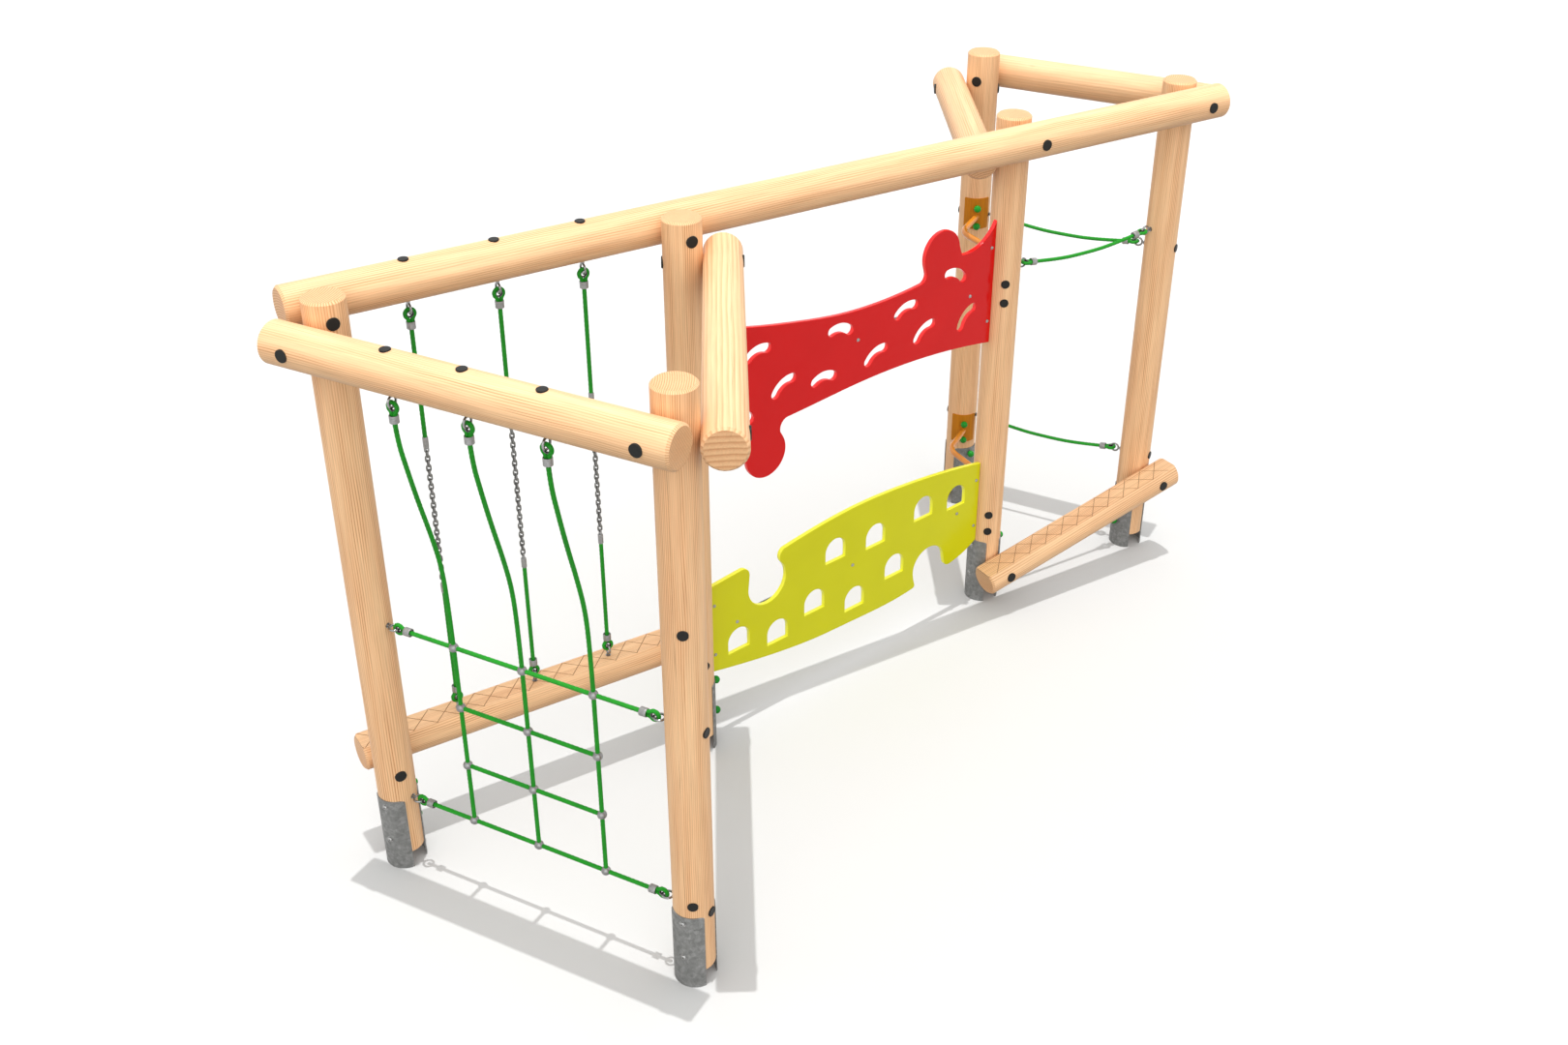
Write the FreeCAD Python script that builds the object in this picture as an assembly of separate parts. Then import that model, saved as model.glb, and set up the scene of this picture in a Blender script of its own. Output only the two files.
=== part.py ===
"""Log climbing trail: two triangular log frames joined by one long top log and two climbing panels.

Millimetres, +Z up, +X along the long top log. The origin is at the centre of the footprint, on the ground.
The six posts are a, b, c (left triangle) and d, e, f (right triangle).
"""
import FreeCAD, Part
import math
import os

os.makedirs("parts", exist_ok=True)

V = FreeCAD.Vector
UP = V(0, 0, 1)
COS30 = math.cos(math.radians(30))

# ---- driving dimensions: logs ----
LOG_R = 70.0            # machined round logs, 140 mm across
CHAMFER = 8.0           # bevel round every visible log end
POST_TOP = 2260.0
POST_FOOT = 70.0        # the log stops this far above the ground, inside its steel shoe
CROSS = 138.0           # axis to axis where two logs cross; the beam is coped 2 mm to seat
SIDE_LEFT = 1250.0      # sides of the two triangles, between post axes
SIDE_RIGHT = 880.0
BRIDGE = 1654.0         # along X, between posts c and d
OVERHANG = 100.0        # beam ends beyond the post axes
Z_LONG = 2190.0         # beam heights step down so that their bolts miss each other
Z_STEP = 48.0
Z_MID = Z_LONG - Z_STEP
Z_LOW = Z_MID - Z_STEP

# ---- balance beams ----
Z_BALANCE = 425.0
BALANCE_OVERHANG = 75.0
Z_SLOPE_D = 195.0
Z_SLOPE_E = 398.0
FLAT_HEIGHT = 50.0      # the walking flat lies this far above the beam's axis
FLAT_HALF = math.sqrt(LOG_R ** 2 - FLAT_HEIGHT ** 2)
GROOVE_PITCH = 92.0
GROOVE_WIDTH = 3.0
GROOVE_DEPTH = 2.0

# ---- fixings ----
BOLT_R = 6.0
HOLE_R = 6.2
CAP_R = 21.5
SMALL_CAP_R = 18.0
CAP_PROUD = 4.0
BOLT_SHORT = 1.0        # a bolt's end stays this far below the log's surface, under its cap

# ---- shoes ----
SHOE_TOP = 315.0
SHOE_WALL = 4.0
SHOE_HALF_ANGLE = 60.0
SHOE_CORNER = 18.0
SHOE_BOLT_Z = (286.0, 135.0)
BALL_NUT_R = 16.5

# ---- ropes, rings and chain ----
ROPE_R = 8.0
RING_R = 18.0           # centre line of an eye bolt's ring
RING_WIRE = 4.0
RING_OUT = 30.0         # ring centre from the log's surface
LOOP_R = 16.5           # centre line of a rope end's loop
LOOP_AT = 18.3          # loop centre from the ring's centre
LOOP_ROPE_R = 7.4       # the rope is pulled a little thinner round its thimble
LEG_SPREAD = 7.6        # of each of a loop's legs from its middle, in the ferrule's mouth
FERRULE_R = 15.5
FERRULE_LONG = 26.0
FERRULE_AT = 57.0       # ferrule centre from the ring's centre
ROPE_AT = FERRULE_AT + FERRULE_LONG / 2
BALL_R = 17.0
NET_ROWS = (312.0, 562.0, 812.0, 1062.0)
LINE_STEP = SIDE_LEFT / 4
CHAIN_WIRE = 3.0
CHAIN_INNER = 18.7
CHAIN_PITCH = 18.4
CHAIN_HALF_WIDTH = 7.2
CHAIN_LINKS = 28
CHAIN_TOP = 1564.0      # centre of the first link's top wire
TERMINAL_R = 10.0
TERMINAL_LONG = 40.0
TERMINAL_EYE = 13.0     # eye centre from the terminal's body

# ---- climbing panels ----
PANEL_THICK = 19.0
PANEL_INSET = 71.0      # panel end from the post's axis
RAIL_THICK = 5.0
RAIL_HALF = 20.0
BRACKET_WIDE = 40.0     # flat strip of each end bracket, behind the panel's end
BRACKET_HALF_ANGLE = 14.0   # of the bracket's curved part, on the post's side
BRACKET_TURN = 8.0      # its middle, round the post from where the strip meets it
SCREW_HEAD_R = 6.5
SCREW_R = 4.0

# ---- zigzag climbing bars ----
BAR_TUBE_R = 13.5
BAR_BULGE = 91.0
BAR_APEX = 260.0        # along the bar's span, from the post's axis
BAR_BEND_R = 110.0
BAR_HEIGHTS = {"upper": 1522.0, "lower": 414.0}
BAR_BOLT_GAP = 84.0
BAR_PLATE_HIGH = 145.0
BAR_PLATE_UP = 14.0     # the plate's middle above the tube's
BAR_PLATE_HALF_ANGLE = 48.0
BAR_PLATE_WALL = 4.0

# ---- post positions ----
HALF_X = (SIDE_LEFT + BRIDGE + SIDE_RIGHT) / 2
Y_LONG = (SIDE_LEFT - SIDE_RIGHT) * COS30 / 2
POST = {
    "a": V(-HALF_X, Y_LONG - CROSS, 0),
    "b": V(-HALF_X + SIDE_LEFT / 2, Y_LONG - CROSS - SIDE_LEFT * COS30, 0),
    "c": V(-HALF_X + SIDE_LEFT, Y_LONG - CROSS, 0),
    "d": V(HALF_X - SIDE_RIGHT, Y_LONG + CROSS, 0),
    "e": V(HALF_X, Y_LONG + CROSS, 0),
    "f": V(HALF_X - SIDE_RIGHT / 2, Y_LONG + CROSS + SIDE_RIGHT * COS30, 0),
}
# direction in which the gap between each shoe's two plates faces
SHOE_GAP = {"a": -60.0, "b": -60.0, "c": -90.0, "d": -90.0, "e": 90.0, "f": 180.0}

holes = {}              # node name -> solids to drill out of it
groups = {}             # node name -> separate solids exported together


def put(node, *shapes):
    groups.setdefault(node, []).extend(shapes)


def drill(node, *shapes):
    holes.setdefault(node, []).extend(shapes)


def heading(angle):
    """Level unit vector at an angle in degrees from +X."""
    return V(math.cos(math.radians(angle)), math.sin(math.radians(angle)), 0)


def towards(start, end):
    way = end - start
    return way.normalize()


def placed(shape, origin, x_axis, z_axis):
    """Move a shape drawn about the origin so that its X and Z point along the given axes."""
    turn = FreeCAD.Rotation(x_axis, z_axis.cross(x_axis), z_axis, "ZXY")
    return shape.transformed(FreeCAD.Placement(origin, turn).toMatrix(), True)


def side_of(axis):
    """Any unit vector square to an axis."""
    other = UP if abs(axis.z) < 0.9 else V(1, 0, 0)
    return other.cross(axis).normalize()


def rod(start, end, radius):
    return Part.makeCylinder(radius, (end - start).Length, start, end - start)


def turned(profile):
    """Solid of revolution about Z from (radius, height) points."""
    points = [V(r, 0, z) for r, z in profile]
    face = Part.Face(Part.makePolygon(points + [points[0]]))
    return face.revolve(V(0, 0, 0), UP, 360)


def bevelled_rod(start, end, radius, start_bevel, end_bevel):
    """Round bar whose ends can be bevelled."""
    long = (end - start).Length
    profile = [(0, 0), (radius - start_bevel, 0), (radius, start_bevel), (radius, long - end_bevel),
               (radius - end_bevel, long), (0, long)]
    if not start_bevel:
        profile.pop(2)
    axis = towards(start, end)
    return placed(turned(profile), start, side_of(axis), axis)


def swept(edges, radius):
    """Round tube along joined edges."""
    path = Part.Wire(edges)
    first = edges[0]
    start = first.valueAt(first.FirstParameter)
    way = first.tangentAt(first.FirstParameter)
    ring = Part.Wire(Part.makeCircle(radius, start, way))
    return path.makePipeShell([ring], True, True)


def rounded_path(points, radius_of):
    """Straight runs joined by tangent arcs. radius_of gives the arc at each inner point."""
    edges = []
    at = points[0]
    for i in range(1, len(points) - 1):
        back = towards(points[i], points[i - 1])
        ahead = towards(points[i], points[i + 1])
        half_turn = (math.pi - back.getAngle(ahead)) / 2
        cut = radius_of(i, half_turn) * math.tan(half_turn)
        enter = points[i] + back * cut
        leave = points[i] + ahead * cut
        inward = (back + ahead).normalize()
        radius = radius_of(i, half_turn)
        middle = points[i] + inward * (radius / math.cos(half_turn) - radius)
        edges.append(Part.LineSegment(at, enter).toShape())
        edges.append(Part.Arc(enter, middle, leave).toShape())
        at = leave
    edges.append(Part.LineSegment(at, points[-1]).toShape())
    return edges


def rope_tube(name, points):
    """Rope along a hand-picked route, with arcs as large as the runs allow."""
    radii = []

    def radius_of(i, half_turn):
        run = min((points[i] - points[i - 1]).Length, (points[i + 1] - points[i]).Length)
        return 0.45 * run / math.tan(half_turn)

    for i in range(1, len(points) - 1):
        back = towards(points[i], points[i - 1])
        ahead = towards(points[i], points[i + 1])
        radii.append(radius_of(i, (math.pi - back.getAngle(ahead)) / 2))
    edges = rounded_path(points, radius_of)
    solid = swept(edges, ROPE_R)
    long = sum(edge.Length for edge in edges)
    ratio = solid.Volume / (math.pi * ROPE_R ** 2 * long)
    print(name, "length %.1f" % long, "volume ratio %.4f" % ratio, "radii", [round(r) for r in radii])
    return solid


# ---- logs ----------------------------------------------------------------------------------------

def post_cylinder(letter, radius=LOG_R):
    base = POST[letter]
    return Part.makeCylinder(radius, POST_TOP + 20, V(base.x, base.y, -10))


def make_post(letter):
    base = POST[letter]
    foot = V(base.x, base.y, POST_FOOT)
    head = V(base.x, base.y, POST_TOP)
    put("post_" + letter, bevelled_rod(foot, head, LOG_R, 0, CHAMFER))


def cross_beam(node, near, far, outward, height, beyond_near=OVERHANG, beyond_far=OVERHANG):
    """Level log across two posts, on their outward side, with a bolt through it and each post."""
    along = towards(POST[near], POST[far])
    offset = outward * CROSS + UP * height
    start = POST[near] + offset - along * beyond_near
    end = POST[far] + offset + along * beyond_far
    log = bevelled_rod(start, end, LOG_R, CHAMFER, CHAMFER)
    put(node, log.cut(post_cylinder(near)).cut(post_cylinder(far)))
    for letter in (near, far):
        beam_bolt(node, letter, outward, height)


def beam_bolt(node, letter, outward, height, log_axis=None):
    """Through bolt from a beam's outer face to the post's other side, with a cap at each end."""
    centre = V(POST[letter].x, POST[letter].y, height)
    outer = centre + outward * (CROSS + LOG_R)
    inner = centre - outward * LOG_R
    put("beam_bolts", rod(inner + outward * BOLT_SHORT, outer - outward * BOLT_SHORT, BOLT_R))
    hole = rod(inner - outward * 5, outer + outward * 5, HOLE_R)
    drill(node, hole)
    drill("post_" + letter, hole)
    cap("beam_caps", centre + outward * CROSS, outward, CAP_R, log_axis or side_of(outward))
    cap("beam_caps", centre, outward * -1, CAP_R, UP)


def cap(node, log_point, out, radius, log_axis):
    """Round cover seated on a log's side. log_point is on the log's axis."""
    blank = turned([(0, LOG_R - 6), (radius, LOG_R - 6), (radius, LOG_R + CAP_PROUD - 1.2),
                    (radius - 1.2, LOG_R + CAP_PROUD), (0, LOG_R + CAP_PROUD)])
    disc = placed(blank, log_point, side_of(out), out)
    reach = log_axis * 60
    put(node, disc.cut(rod(log_point - reach, log_point + reach, LOG_R)))


def grooves(start, along, flat_up, long):
    """Crossing shallow grooves over a walking flat. start is on the flat's centre line."""
    across = flat_up.cross(along)
    count = int(long / GROOVE_PITCH)
    first = (long - (count - 1) * GROOVE_PITCH) / 2
    reach = 2 * FLAT_HALF * math.sqrt(2)
    cutters = []
    for lean in (1, -1):
        way = (along + across * lean).normalize()
        corner = V(-reach / 2, -GROOVE_WIDTH / 2, -GROOVE_DEPTH)
        blank = Part.makeBox(reach, GROOVE_WIDTH, GROOVE_DEPTH * 2, corner)
        for i in range(count):
            centre = start + along * (first + i * GROOVE_PITCH)
            cutters.append(placed(blank, centre, way, flat_up))
    return Part.makeCompound(cutters)


def balance_beam(node, near, far, outward, z_near, z_far, beyond):
    """Walking log with a flat, grooved top."""
    near_axis = POST[near] + outward * CROSS + UP * z_near
    far_axis = POST[far] + outward * CROSS + UP * z_far
    along = towards(near_axis, far_axis)
    across = UP.cross(along).normalize()
    flat_up = along.cross(across).normalize()
    start = near_axis - along * beyond
    end = far_axis + along * beyond
    long = (end - start).Length
    log = bevelled_rod(start, end, LOG_R, CHAMFER, CHAMFER)
    waste = Part.makeBox(long + 20, 2 * LOG_R, LOG_R, V(-10, -LOG_R, FLAT_HEIGHT))
    log = log.cut(placed(waste, start, along, flat_up))
    log = log.cut(grooves(start + flat_up * FLAT_HEIGHT, along, flat_up, long))
    put(node, log.cut(post_cylinder(near)).cut(post_cylinder(far)))
    beam_bolt(node, near, outward, z_near, along)
    beam_bolt(node, far, outward, z_far, along)


# ---- shoes ---------------------------------------------------------------------------------------

def plate_sector(inner, wall, height, half_angle, corner):
    """Curved plate about Z, centred on +X, from z=0 up, with rounded top corners."""
    ring = Part.makeCylinder(inner + wall, height, V(0, 0, 0), UP, 2 * half_angle)
    ring.rotate(V(0, 0, 0), UP, -half_angle)
    ring = ring.cut(Part.makeCylinder(inner, height + 2, V(0, 0, -1)))
    half_wide = (inner + wall) * math.sin(math.radians(half_angle))
    far = inner + wall + 10
    for side in (1, -1):
        low_y = half_wide - corner if side > 0 else -half_wide
        box = Part.makeBox(far, corner, corner + 1, V(0, low_y, height - corner))
        centre = V(0, side * (half_wide - corner), height - corner)
        ring = ring.cut(box.cut(Part.makeCylinder(corner, far, centre, V(1, 0, 0))))
    return ring


def make_shoe(letter):
    """Two curved plates bolted to the log's sides, which hold its end clear of the ground."""
    base = POST[letter]
    blank = plate_sector(LOG_R, SHOE_WALL, SHOE_TOP, SHOE_HALF_ANGLE, SHOE_CORNER)
    out = heading(SHOE_GAP[letter] - 90)
    put("shoe_" + letter, placed(blank, base, out, UP), placed(blank, base, out * -1, UP))
    for height in SHOE_BOLT_Z:
        centre = V(base.x, base.y, height)
        through_bolt(letter, "shoe_" + letter, centre, out, LOG_R + SHOE_WALL, LOG_R + SHOE_WALL)


def through_bolt(letter, other, centre, out, head_at, nut_at):
    """Bolt across a post: domed head on the out side, round cap nut on the other."""
    head = turned([(0, 0), (9.0, 0), (9.0, 1.2), (7.6, 3.6), (4.4, 5.4), (0, 6.0)])
    shaft = Part.makeCylinder(5.0, head_at + nut_at, V(0, 0, -head_at - nut_at))
    put("shoe_bolts", placed(head.fuse(shaft), centre + out * head_at, side_of(out), out))
    ball_nut(centre - out * nut_at, out * -1)
    hole = rod(centre - out * (nut_at + 5), centre + out * (head_at + 5), 5.2)
    drill("post_" + letter, hole)
    drill(other, hole)


def ball_nut(seat, out):
    """Round-headed cap nut on a short collar."""
    ball = Part.makeSphere(BALL_NUT_R, V(0, 0, BALL_NUT_R - 3))
    collar = Part.makeCylinder(8.5, BALL_NUT_R - 3)
    below = Part.makeBox(40, 40, 20, V(-20, -20, -20))
    put("ball_nuts", placed(ball.cut(below).fuse(collar), seat, side_of(out), out))


# ---- rings, loops, ferrules ----------------------------------------------------------------------

def eye_bolt(node, log_node, log_point, out, ring_side, log_axis, surface=LOG_R, depth=None):
    """Ring on a shank through a log. log_point is on the log's axis; ring_side lies in the ring's plane."""
    far_side = LOG_R - BOLT_SHORT if depth is None else depth - surface
    centre = log_point + out * (surface + RING_OUT)
    ring = placed(Part.makeTorus(RING_R, RING_WIRE), centre, out, out.cross(ring_side))
    shank = rod(log_point - out * far_side, centre - out * RING_R, BOLT_R)
    collar = rod(log_point + out * surface, log_point + out * (surface + 3), 10.0)
    trim = log_point + out * surface
    if surface == LOG_R:
        reach = log_axis * 60
        collar = rod(log_point + out * (surface - 1.0), log_point + out * (surface + 3), 10.0)
        collar = collar.cut(rod(log_point - reach, log_point + reach, LOG_R))
    put(node, ring.fuse([shank, collar]))
    end = log_point - out * (far_side + (5 if depth is None else 0))
    drill(log_node, rod(end, trim + out * 5, HOLE_R))
    if depth is None:
        cap("fitting_caps", log_point, out * -1, SMALL_CAP_R, log_axis)
    return centre


def loop_edges():
    """Rope end round its thimble, in the XZ plane: legs flare from the ferrule's mouth into a loop."""
    mouth = V(ROPE_AT - FERRULE_LONG, 0, LEG_SPREAD)
    centre = V(LOOP_AT, 0, 0)
    reach = mouth.x - centre.x
    flare = (reach ** 2 + LEG_SPREAD ** 2 - LOOP_R ** 2) / (2 * (LOOP_R - LEG_SPREAD))
    flare_centre = mouth + UP * flare
    to_loop = towards(flare_centre, centre)
    touch = flare_centre + to_loop * flare
    halfway = flare_centre + (to_loop - UP).normalize() * flare
    upper = [mouth, halfway, touch]
    lower = [V(p.x, 0, -p.z) for p in upper]
    return [Part.Arc(*upper).toShape(),
            Part.Arc(touch, centre - V(LOOP_R, 0, 0), lower[2]).toShape(),
            Part.Arc(*reversed(lower)).toShape()]


def ferrule_blank():
    half = FERRULE_LONG / 2
    edge = 0.8
    shape = turned([(0, -half), (FERRULE_R - edge, -half), (FERRULE_R, edge - half), (FERRULE_R, half - edge),
                    (FERRULE_R - edge, half), (0, half)])
    return placed(shape, V(FERRULE_AT, 0, 0), UP, V(1, 0, 0))


def thimble_blank():
    hollow = LOOP_R - LOOP_ROPE_R - 1.1
    band = Part.makeCylinder(LOOP_R - LOOP_ROPE_R - 0.05, 7.0, V(LOOP_AT, -3.5, 0), V(0, 1, 0))
    return band.cut(Part.makeCylinder(hollow, 9.0, V(LOOP_AT, -4.5, 0), V(0, 1, 0)))


LOOP = swept(loop_edges(), LOOP_ROPE_R)
FERRULE = ferrule_blank()
THIMBLE = thimble_blank()


def rope_end(centre, out, loop_side, loops, metal):
    """Loop, thimble and ferrule of a rope that leaves a ring's centre along out."""
    axis = loop_side
    put(loops, placed(LOOP, centre, out, axis))
    put(metal, placed(THIMBLE, centre, out, axis), placed(FERRULE, centre, out, axis))
    return centre + out * ROPE_AT


# ---- scramble net between posts a and b ----------------------------------------------------------

AB = towards(POST["a"], POST["b"])
AB_OUT = V(AB.y, -AB.x, 0)
NET_STEP = (SIDE_LEFT - 2 * LOG_R) / 4
NET_ALONG = [LOG_R + NET_STEP * i for i in (1, 2, 3)]
# route of a net rope down from its beam to the top row: distance out from the net, height
DROP_ROUTE = [(138, 1972), (134, 1900), (112, 1800), (80, 1665), (40, 1520), (10, 1385),
              (1.5, 1225), (0, 1066)]


def net_point(along, height, out=0.0):
    return POST["a"] + AB * along + AB_OUT * out + UP * height


def make_net():
    balls = [Part.makeSphere(BALL_R, net_point(s, z)) for s in NET_ALONG for z in NET_ROWS]
    put("net_balls", *balls)
    solid_balls = Part.makeCompound(balls)
    for height in NET_ROWS:
        if height in (NET_ROWS[0], NET_ROWS[-1]):
            ends = []
            for letter, out in (("a", AB), ("b", AB * -1)):
                axis_point = POST[letter] + UP * height
                ring = eye_bolt("net_eyes", "post_" + letter, axis_point, out, AB_OUT, UP)
                ends.append(rope_end(ring, out, UP, "rope_loops", "rope_end_metal"))
        else:
            ends = [net_point(NET_ALONG[0], height), net_point(NET_ALONG[-1], height)]
        put("net_rows", *rod(ends[0], ends[1], ROPE_R).cut(solid_balls).Solids)
    for number, along in enumerate(NET_ALONG, 1):
        column = rod(net_point(along, NET_ROWS[0]), net_point(along, NET_ROWS[-1]), ROPE_R)
        put("net_columns", *column.cut(solid_balls).Solids)
        beam_point = net_point(along, Z_MID, CROSS)
        ring = eye_bolt("net_eyes", "beam_ab", beam_point, UP * -1, AB_OUT, AB)
        rope_end(ring, UP * -1, AB, "rope_loops", "rope_end_metal")
        route = [net_point(along, z, out) for out, z in DROP_ROUTE]
        ferrule = groups["rope_end_metal"][-1]
        drop = rope_tube("net_drop_%d" % number, route).cut(solid_balls)
        put("net_drop_%d" % number, drop.cut(ferrule))


# ---- rope and chain lines over the level balance beam --------------------------------------------

def chain_link():
    """One welded link in the XZ plane, centred on the origin, long way up Z."""
    half = (CHAIN_INNER + 2 * CHAIN_WIRE) / 2 - CHAIN_HALF_WIDTH
    reach = CHAIN_HALF_WIDTH
    corners = [V(reach, 0, -half), V(reach, 0, half), V(-reach, 0, half), V(-reach, 0, -half)]
    edges = [Part.LineSegment(corners[0], corners[1]).toShape(),
             Part.Arc(corners[1], V(0, 0, half + reach), corners[2]).toShape(),
             Part.LineSegment(corners[2], corners[3]).toShape(),
             Part.Arc(corners[3], V(0, 0, -half - reach), corners[0]).toShape()]
    return swept(edges, CHAIN_WIRE)


def terminal():
    """Swaged end of a rope, with an eye below it. Origin at the eye's centre, rope up +Z."""
    top = TERMINAL_EYE + TERMINAL_LONG
    body = turned([(0, TERMINAL_EYE), (TERMINAL_R - 2, TERMINAL_EYE), (TERMINAL_R, TERMINAL_EYE + 2),
                   (TERMINAL_R, top - 2), (TERMINAL_R - 2, top), (0, top)])
    tongue = Part.makeBox(18, 5, TERMINAL_EYE + 3, V(-9, -2.5, 0))
    tip = Part.makeCylinder(9, 5, V(0, -2.5, 0), V(0, 1, 0))
    eye = Part.makeCylinder(5.2, 12, V(0, -6, 0), V(0, 1, 0))
    return body.fuse([tongue, tip]).cut(eye)


def make_lines():
    link = chain_link()
    half_link = CHAIN_INNER / 2 + CHAIN_WIRE / 2 + CHAIN_WIRE / 2
    fitting = terminal()
    x_axis = V(1, 0, 0)
    y_axis = V(0, 1, 0)
    slack = 1.2
    chain_foot = CHAIN_TOP - 2 * half_link - (CHAIN_LINKS - 1) * CHAIN_PITCH
    for number in (1, 2, 3):
        x = POST["a"].x + LINE_STEP * number
        top = V(x, Y_LONG, Z_LONG)
        low = V(x, Y_LONG, Z_BALANCE)
        upper_ring = eye_bolt("line_eyes", "beam_long", top, UP * -1, y_axis, x_axis)
        lower_ring = eye_bolt("line_eyes", "balance_level", low, UP, y_axis, x_axis, surface=FLAT_HEIGHT)
        upper_rope = rope_end(upper_ring, UP * -1, x_axis, "rope_loops", "rope_end_metal")
        lower_rope = rope_end(lower_ring, UP, x_axis, "rope_loops", "rope_end_metal")
        upper_eye = V(x, Y_LONG, CHAIN_TOP + slack)
        lower_eye = V(x, Y_LONG, chain_foot - slack)
        put("chain_terminals", placed(fitting, upper_eye, x_axis, UP))
        put("chain_terminals", placed(fitting, lower_eye, y_axis, UP * -1))
        inset = TERMINAL_EYE + TERMINAL_LONG
        put("line_ropes", rod(upper_rope, upper_eye + UP * inset, ROPE_R))
        put("line_ropes", rod(lower_eye - UP * inset, lower_rope, ROPE_R))
        for i in range(CHAIN_LINKS):
            centre = V(x, Y_LONG, CHAIN_TOP - half_link - i * CHAIN_PITCH)
            face = y_axis if i % 2 == 0 else x_axis
            put("chains", placed(link, centre, face, UP))


# ---- hand and foot ropes between posts -----------------------------------------------------------

ROPE_END_LEAN = 8.0     # degrees below level at each end of a hanging rope
# routes from one ring's centre: distance along the chord, height relative to it
SHORT_ROUTE = [(69.3, -9.7), (200, -28.1), (340, -31.5), (480, -28.1), (610.7, -9.7)]
LONG_ROUTE = [(69.3, -9.7), (200, -28.1), (360, -41), (525, -45), (690, -41), (850, -28.1), (980.7, -9.7)]


def hanging_rope(name, near, far, height, route, blind_near=False):
    """Slack rope from ring to ring, free to sway about the line between the two rings."""
    along = towards(POST[near], POST[far])
    rings = []
    for letter, out, blind in ((near, along, blind_near), (far, along * -1, False)):
        axis_point = POST[letter] + UP * height
        depth = 60.0 if blind else None
        rings.append(eye_bolt("rope_eyes", "post_" + letter, axis_point, out, UP, UP, depth=depth))
    lean = math.radians(ROPE_END_LEAN)
    level = UP.cross(along).normalize()
    for ring, out in ((rings[0], along), (rings[1], along * -1)):
        down = out * math.cos(lean) - UP * math.sin(lean)
        rope_end(ring, down, level, name + "_loops", name + "_metal")
    tube = rope_tube(name, [rings[0] + along * d + UP * h for d, h in route])
    crimps = Part.makeCompound([s for s in groups[name + "_metal"]])
    put(name + "_rope", tube.cut(crimps))
    print(name, "axis through", rings[0], rings[1])


# ---- climbing panels between posts c and d -------------------------------------------------------

CD = towards(POST["c"], POST["d"])
CD_FRONT = V(CD.y, -CD.x, 0)
SPAN = (POST["d"] - POST["c"]).Length
END_LEFT = PANEL_INSET
END_RIGHT = SPAN - PANEL_INSET


def on_panel(points):
    return [V(s, 0, z) for s, z in points]


def line(*points):
    return Part.makePolygon(on_panel(points)).Edges


def arc(start, middle, end):
    return [Part.Arc(*on_panel([start, middle, end])).toShape()]


def curve(*points):
    spline = Part.BSplineCurve()
    spline.interpolate(on_panel(points))
    return [spline.toShape()]


def plate(edges, thick, front):
    """Flat plate from edges in the panel's plane; front is how far its front face stands forward."""
    ordered = Part.__sortEdges__(edges)
    blank = Part.Face(Part.Wire(ordered)).extrude(V(0, thick, 0))
    blank.translate(V(0, -front, 0))
    return blank


def stand(shape):
    """From the panel's drawing plane to its place between the posts."""
    return placed(shape, POST["c"], CD, UP)


def red_outline():
    edges = line((END_LEFT, 1284), (END_LEFT, 1835))
    edges += curve((END_LEFT, 1835), (275, 1768), (491, 1720), (759, 1676), (926, 1666), (1180, 1677))
    edges += arc((1180, 1677), (1204, 1692), (1207, 1716))
    edges += line((1207, 1716), (1200, 1740))
    edges += arc((1200, 1740), (1295, 1872), (1394, 1784))
    edges += line((1394, 1784), (1410, 1741))
    edges += arc((1410, 1741), (1520, 1756), (END_RIGHT, 1836))
    edges += line((END_RIGHT, 1836), (END_RIGHT, 1296))
    edges += curve((END_RIGHT, 1296), (1379, 1331), (1115, 1353), (850, 1354), (612, 1341), (484, 1334))
    edges += arc((484, 1334), (444, 1314), (439, 1282))
    edges += line((439, 1282), (453, 1257))
    edges += arc((453, 1257), (366, 1112), (268, 1199))
    edges += line((268, 1199), (240, 1274))
    edges += arc((240, 1274), (223, 1294), (198, 1300))
    edges += arc((198, 1300), (130, 1294), (END_LEFT, 1284))
    return edges


def yellow_outline():
    edges = line((END_LEFT, 325), (END_LEFT, 727))
    edges += curve((END_LEFT, 727), (150, 734), (232, 741))
    edges += arc((232, 741), (265, 729), (276, 696))
    edges += line((276, 696), (269, 626))
    edges += arc((269, 626), (367, 528), (442, 690))
    edges += arc((442, 690), (434, 722), (454, 750))
    edges += curve((454, 750), (584, 768), (850, 789), (1120, 780), (1409, 748), (END_RIGHT, 714))
    edges += line((END_RIGHT, 714), (END_RIGHT, 322))
    edges += curve((END_RIGHT, 322), (1519, 280), (1440, 261))
    edges += arc((1440, 261), (1415, 268), (1403, 290))
    edges += line((1403, 290), (1397, 314))
    edges += arc((1397, 314), (1303, 404), (1209, 306))
    edges += arc((1209, 306), (1214, 272), (1221, 249))
    edges += arc((1221, 249), (1221, 236), (1208, 227))
    edges += curve((1208, 227), (1043, 216), (832, 222), (646, 230), (465, 250), (292, 279), (END_LEFT, 325))
    return edges


SLOT_R = 19.0
SLOT_BEND = 90.0
SLOT_HALF_ANGLE = 32.0
# curved hand slots in the upper panel: along, height, tilt in degrees
HAND_SLOTS = [(252, 1425, -30), (324, 1660, 11), (449, 1483, 27), (662, 1446, 0), (750, 1622, -12),
              (935, 1460, 23), (1098, 1605, 13), (1203, 1478, 30), (1383, 1671, -23), (1447, 1465, 44)]
# arched windows in the lower panel: middle of the sill
WINDOWS = [(215, 370), (421, 315), (624, 371), (740, 573), (855, 286), (971, 550), (1089, 350),
           (1256, 572), (1460, 548)]
WINDOW_HALF = 55.0
WINDOW_WALL = 50.0


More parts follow.
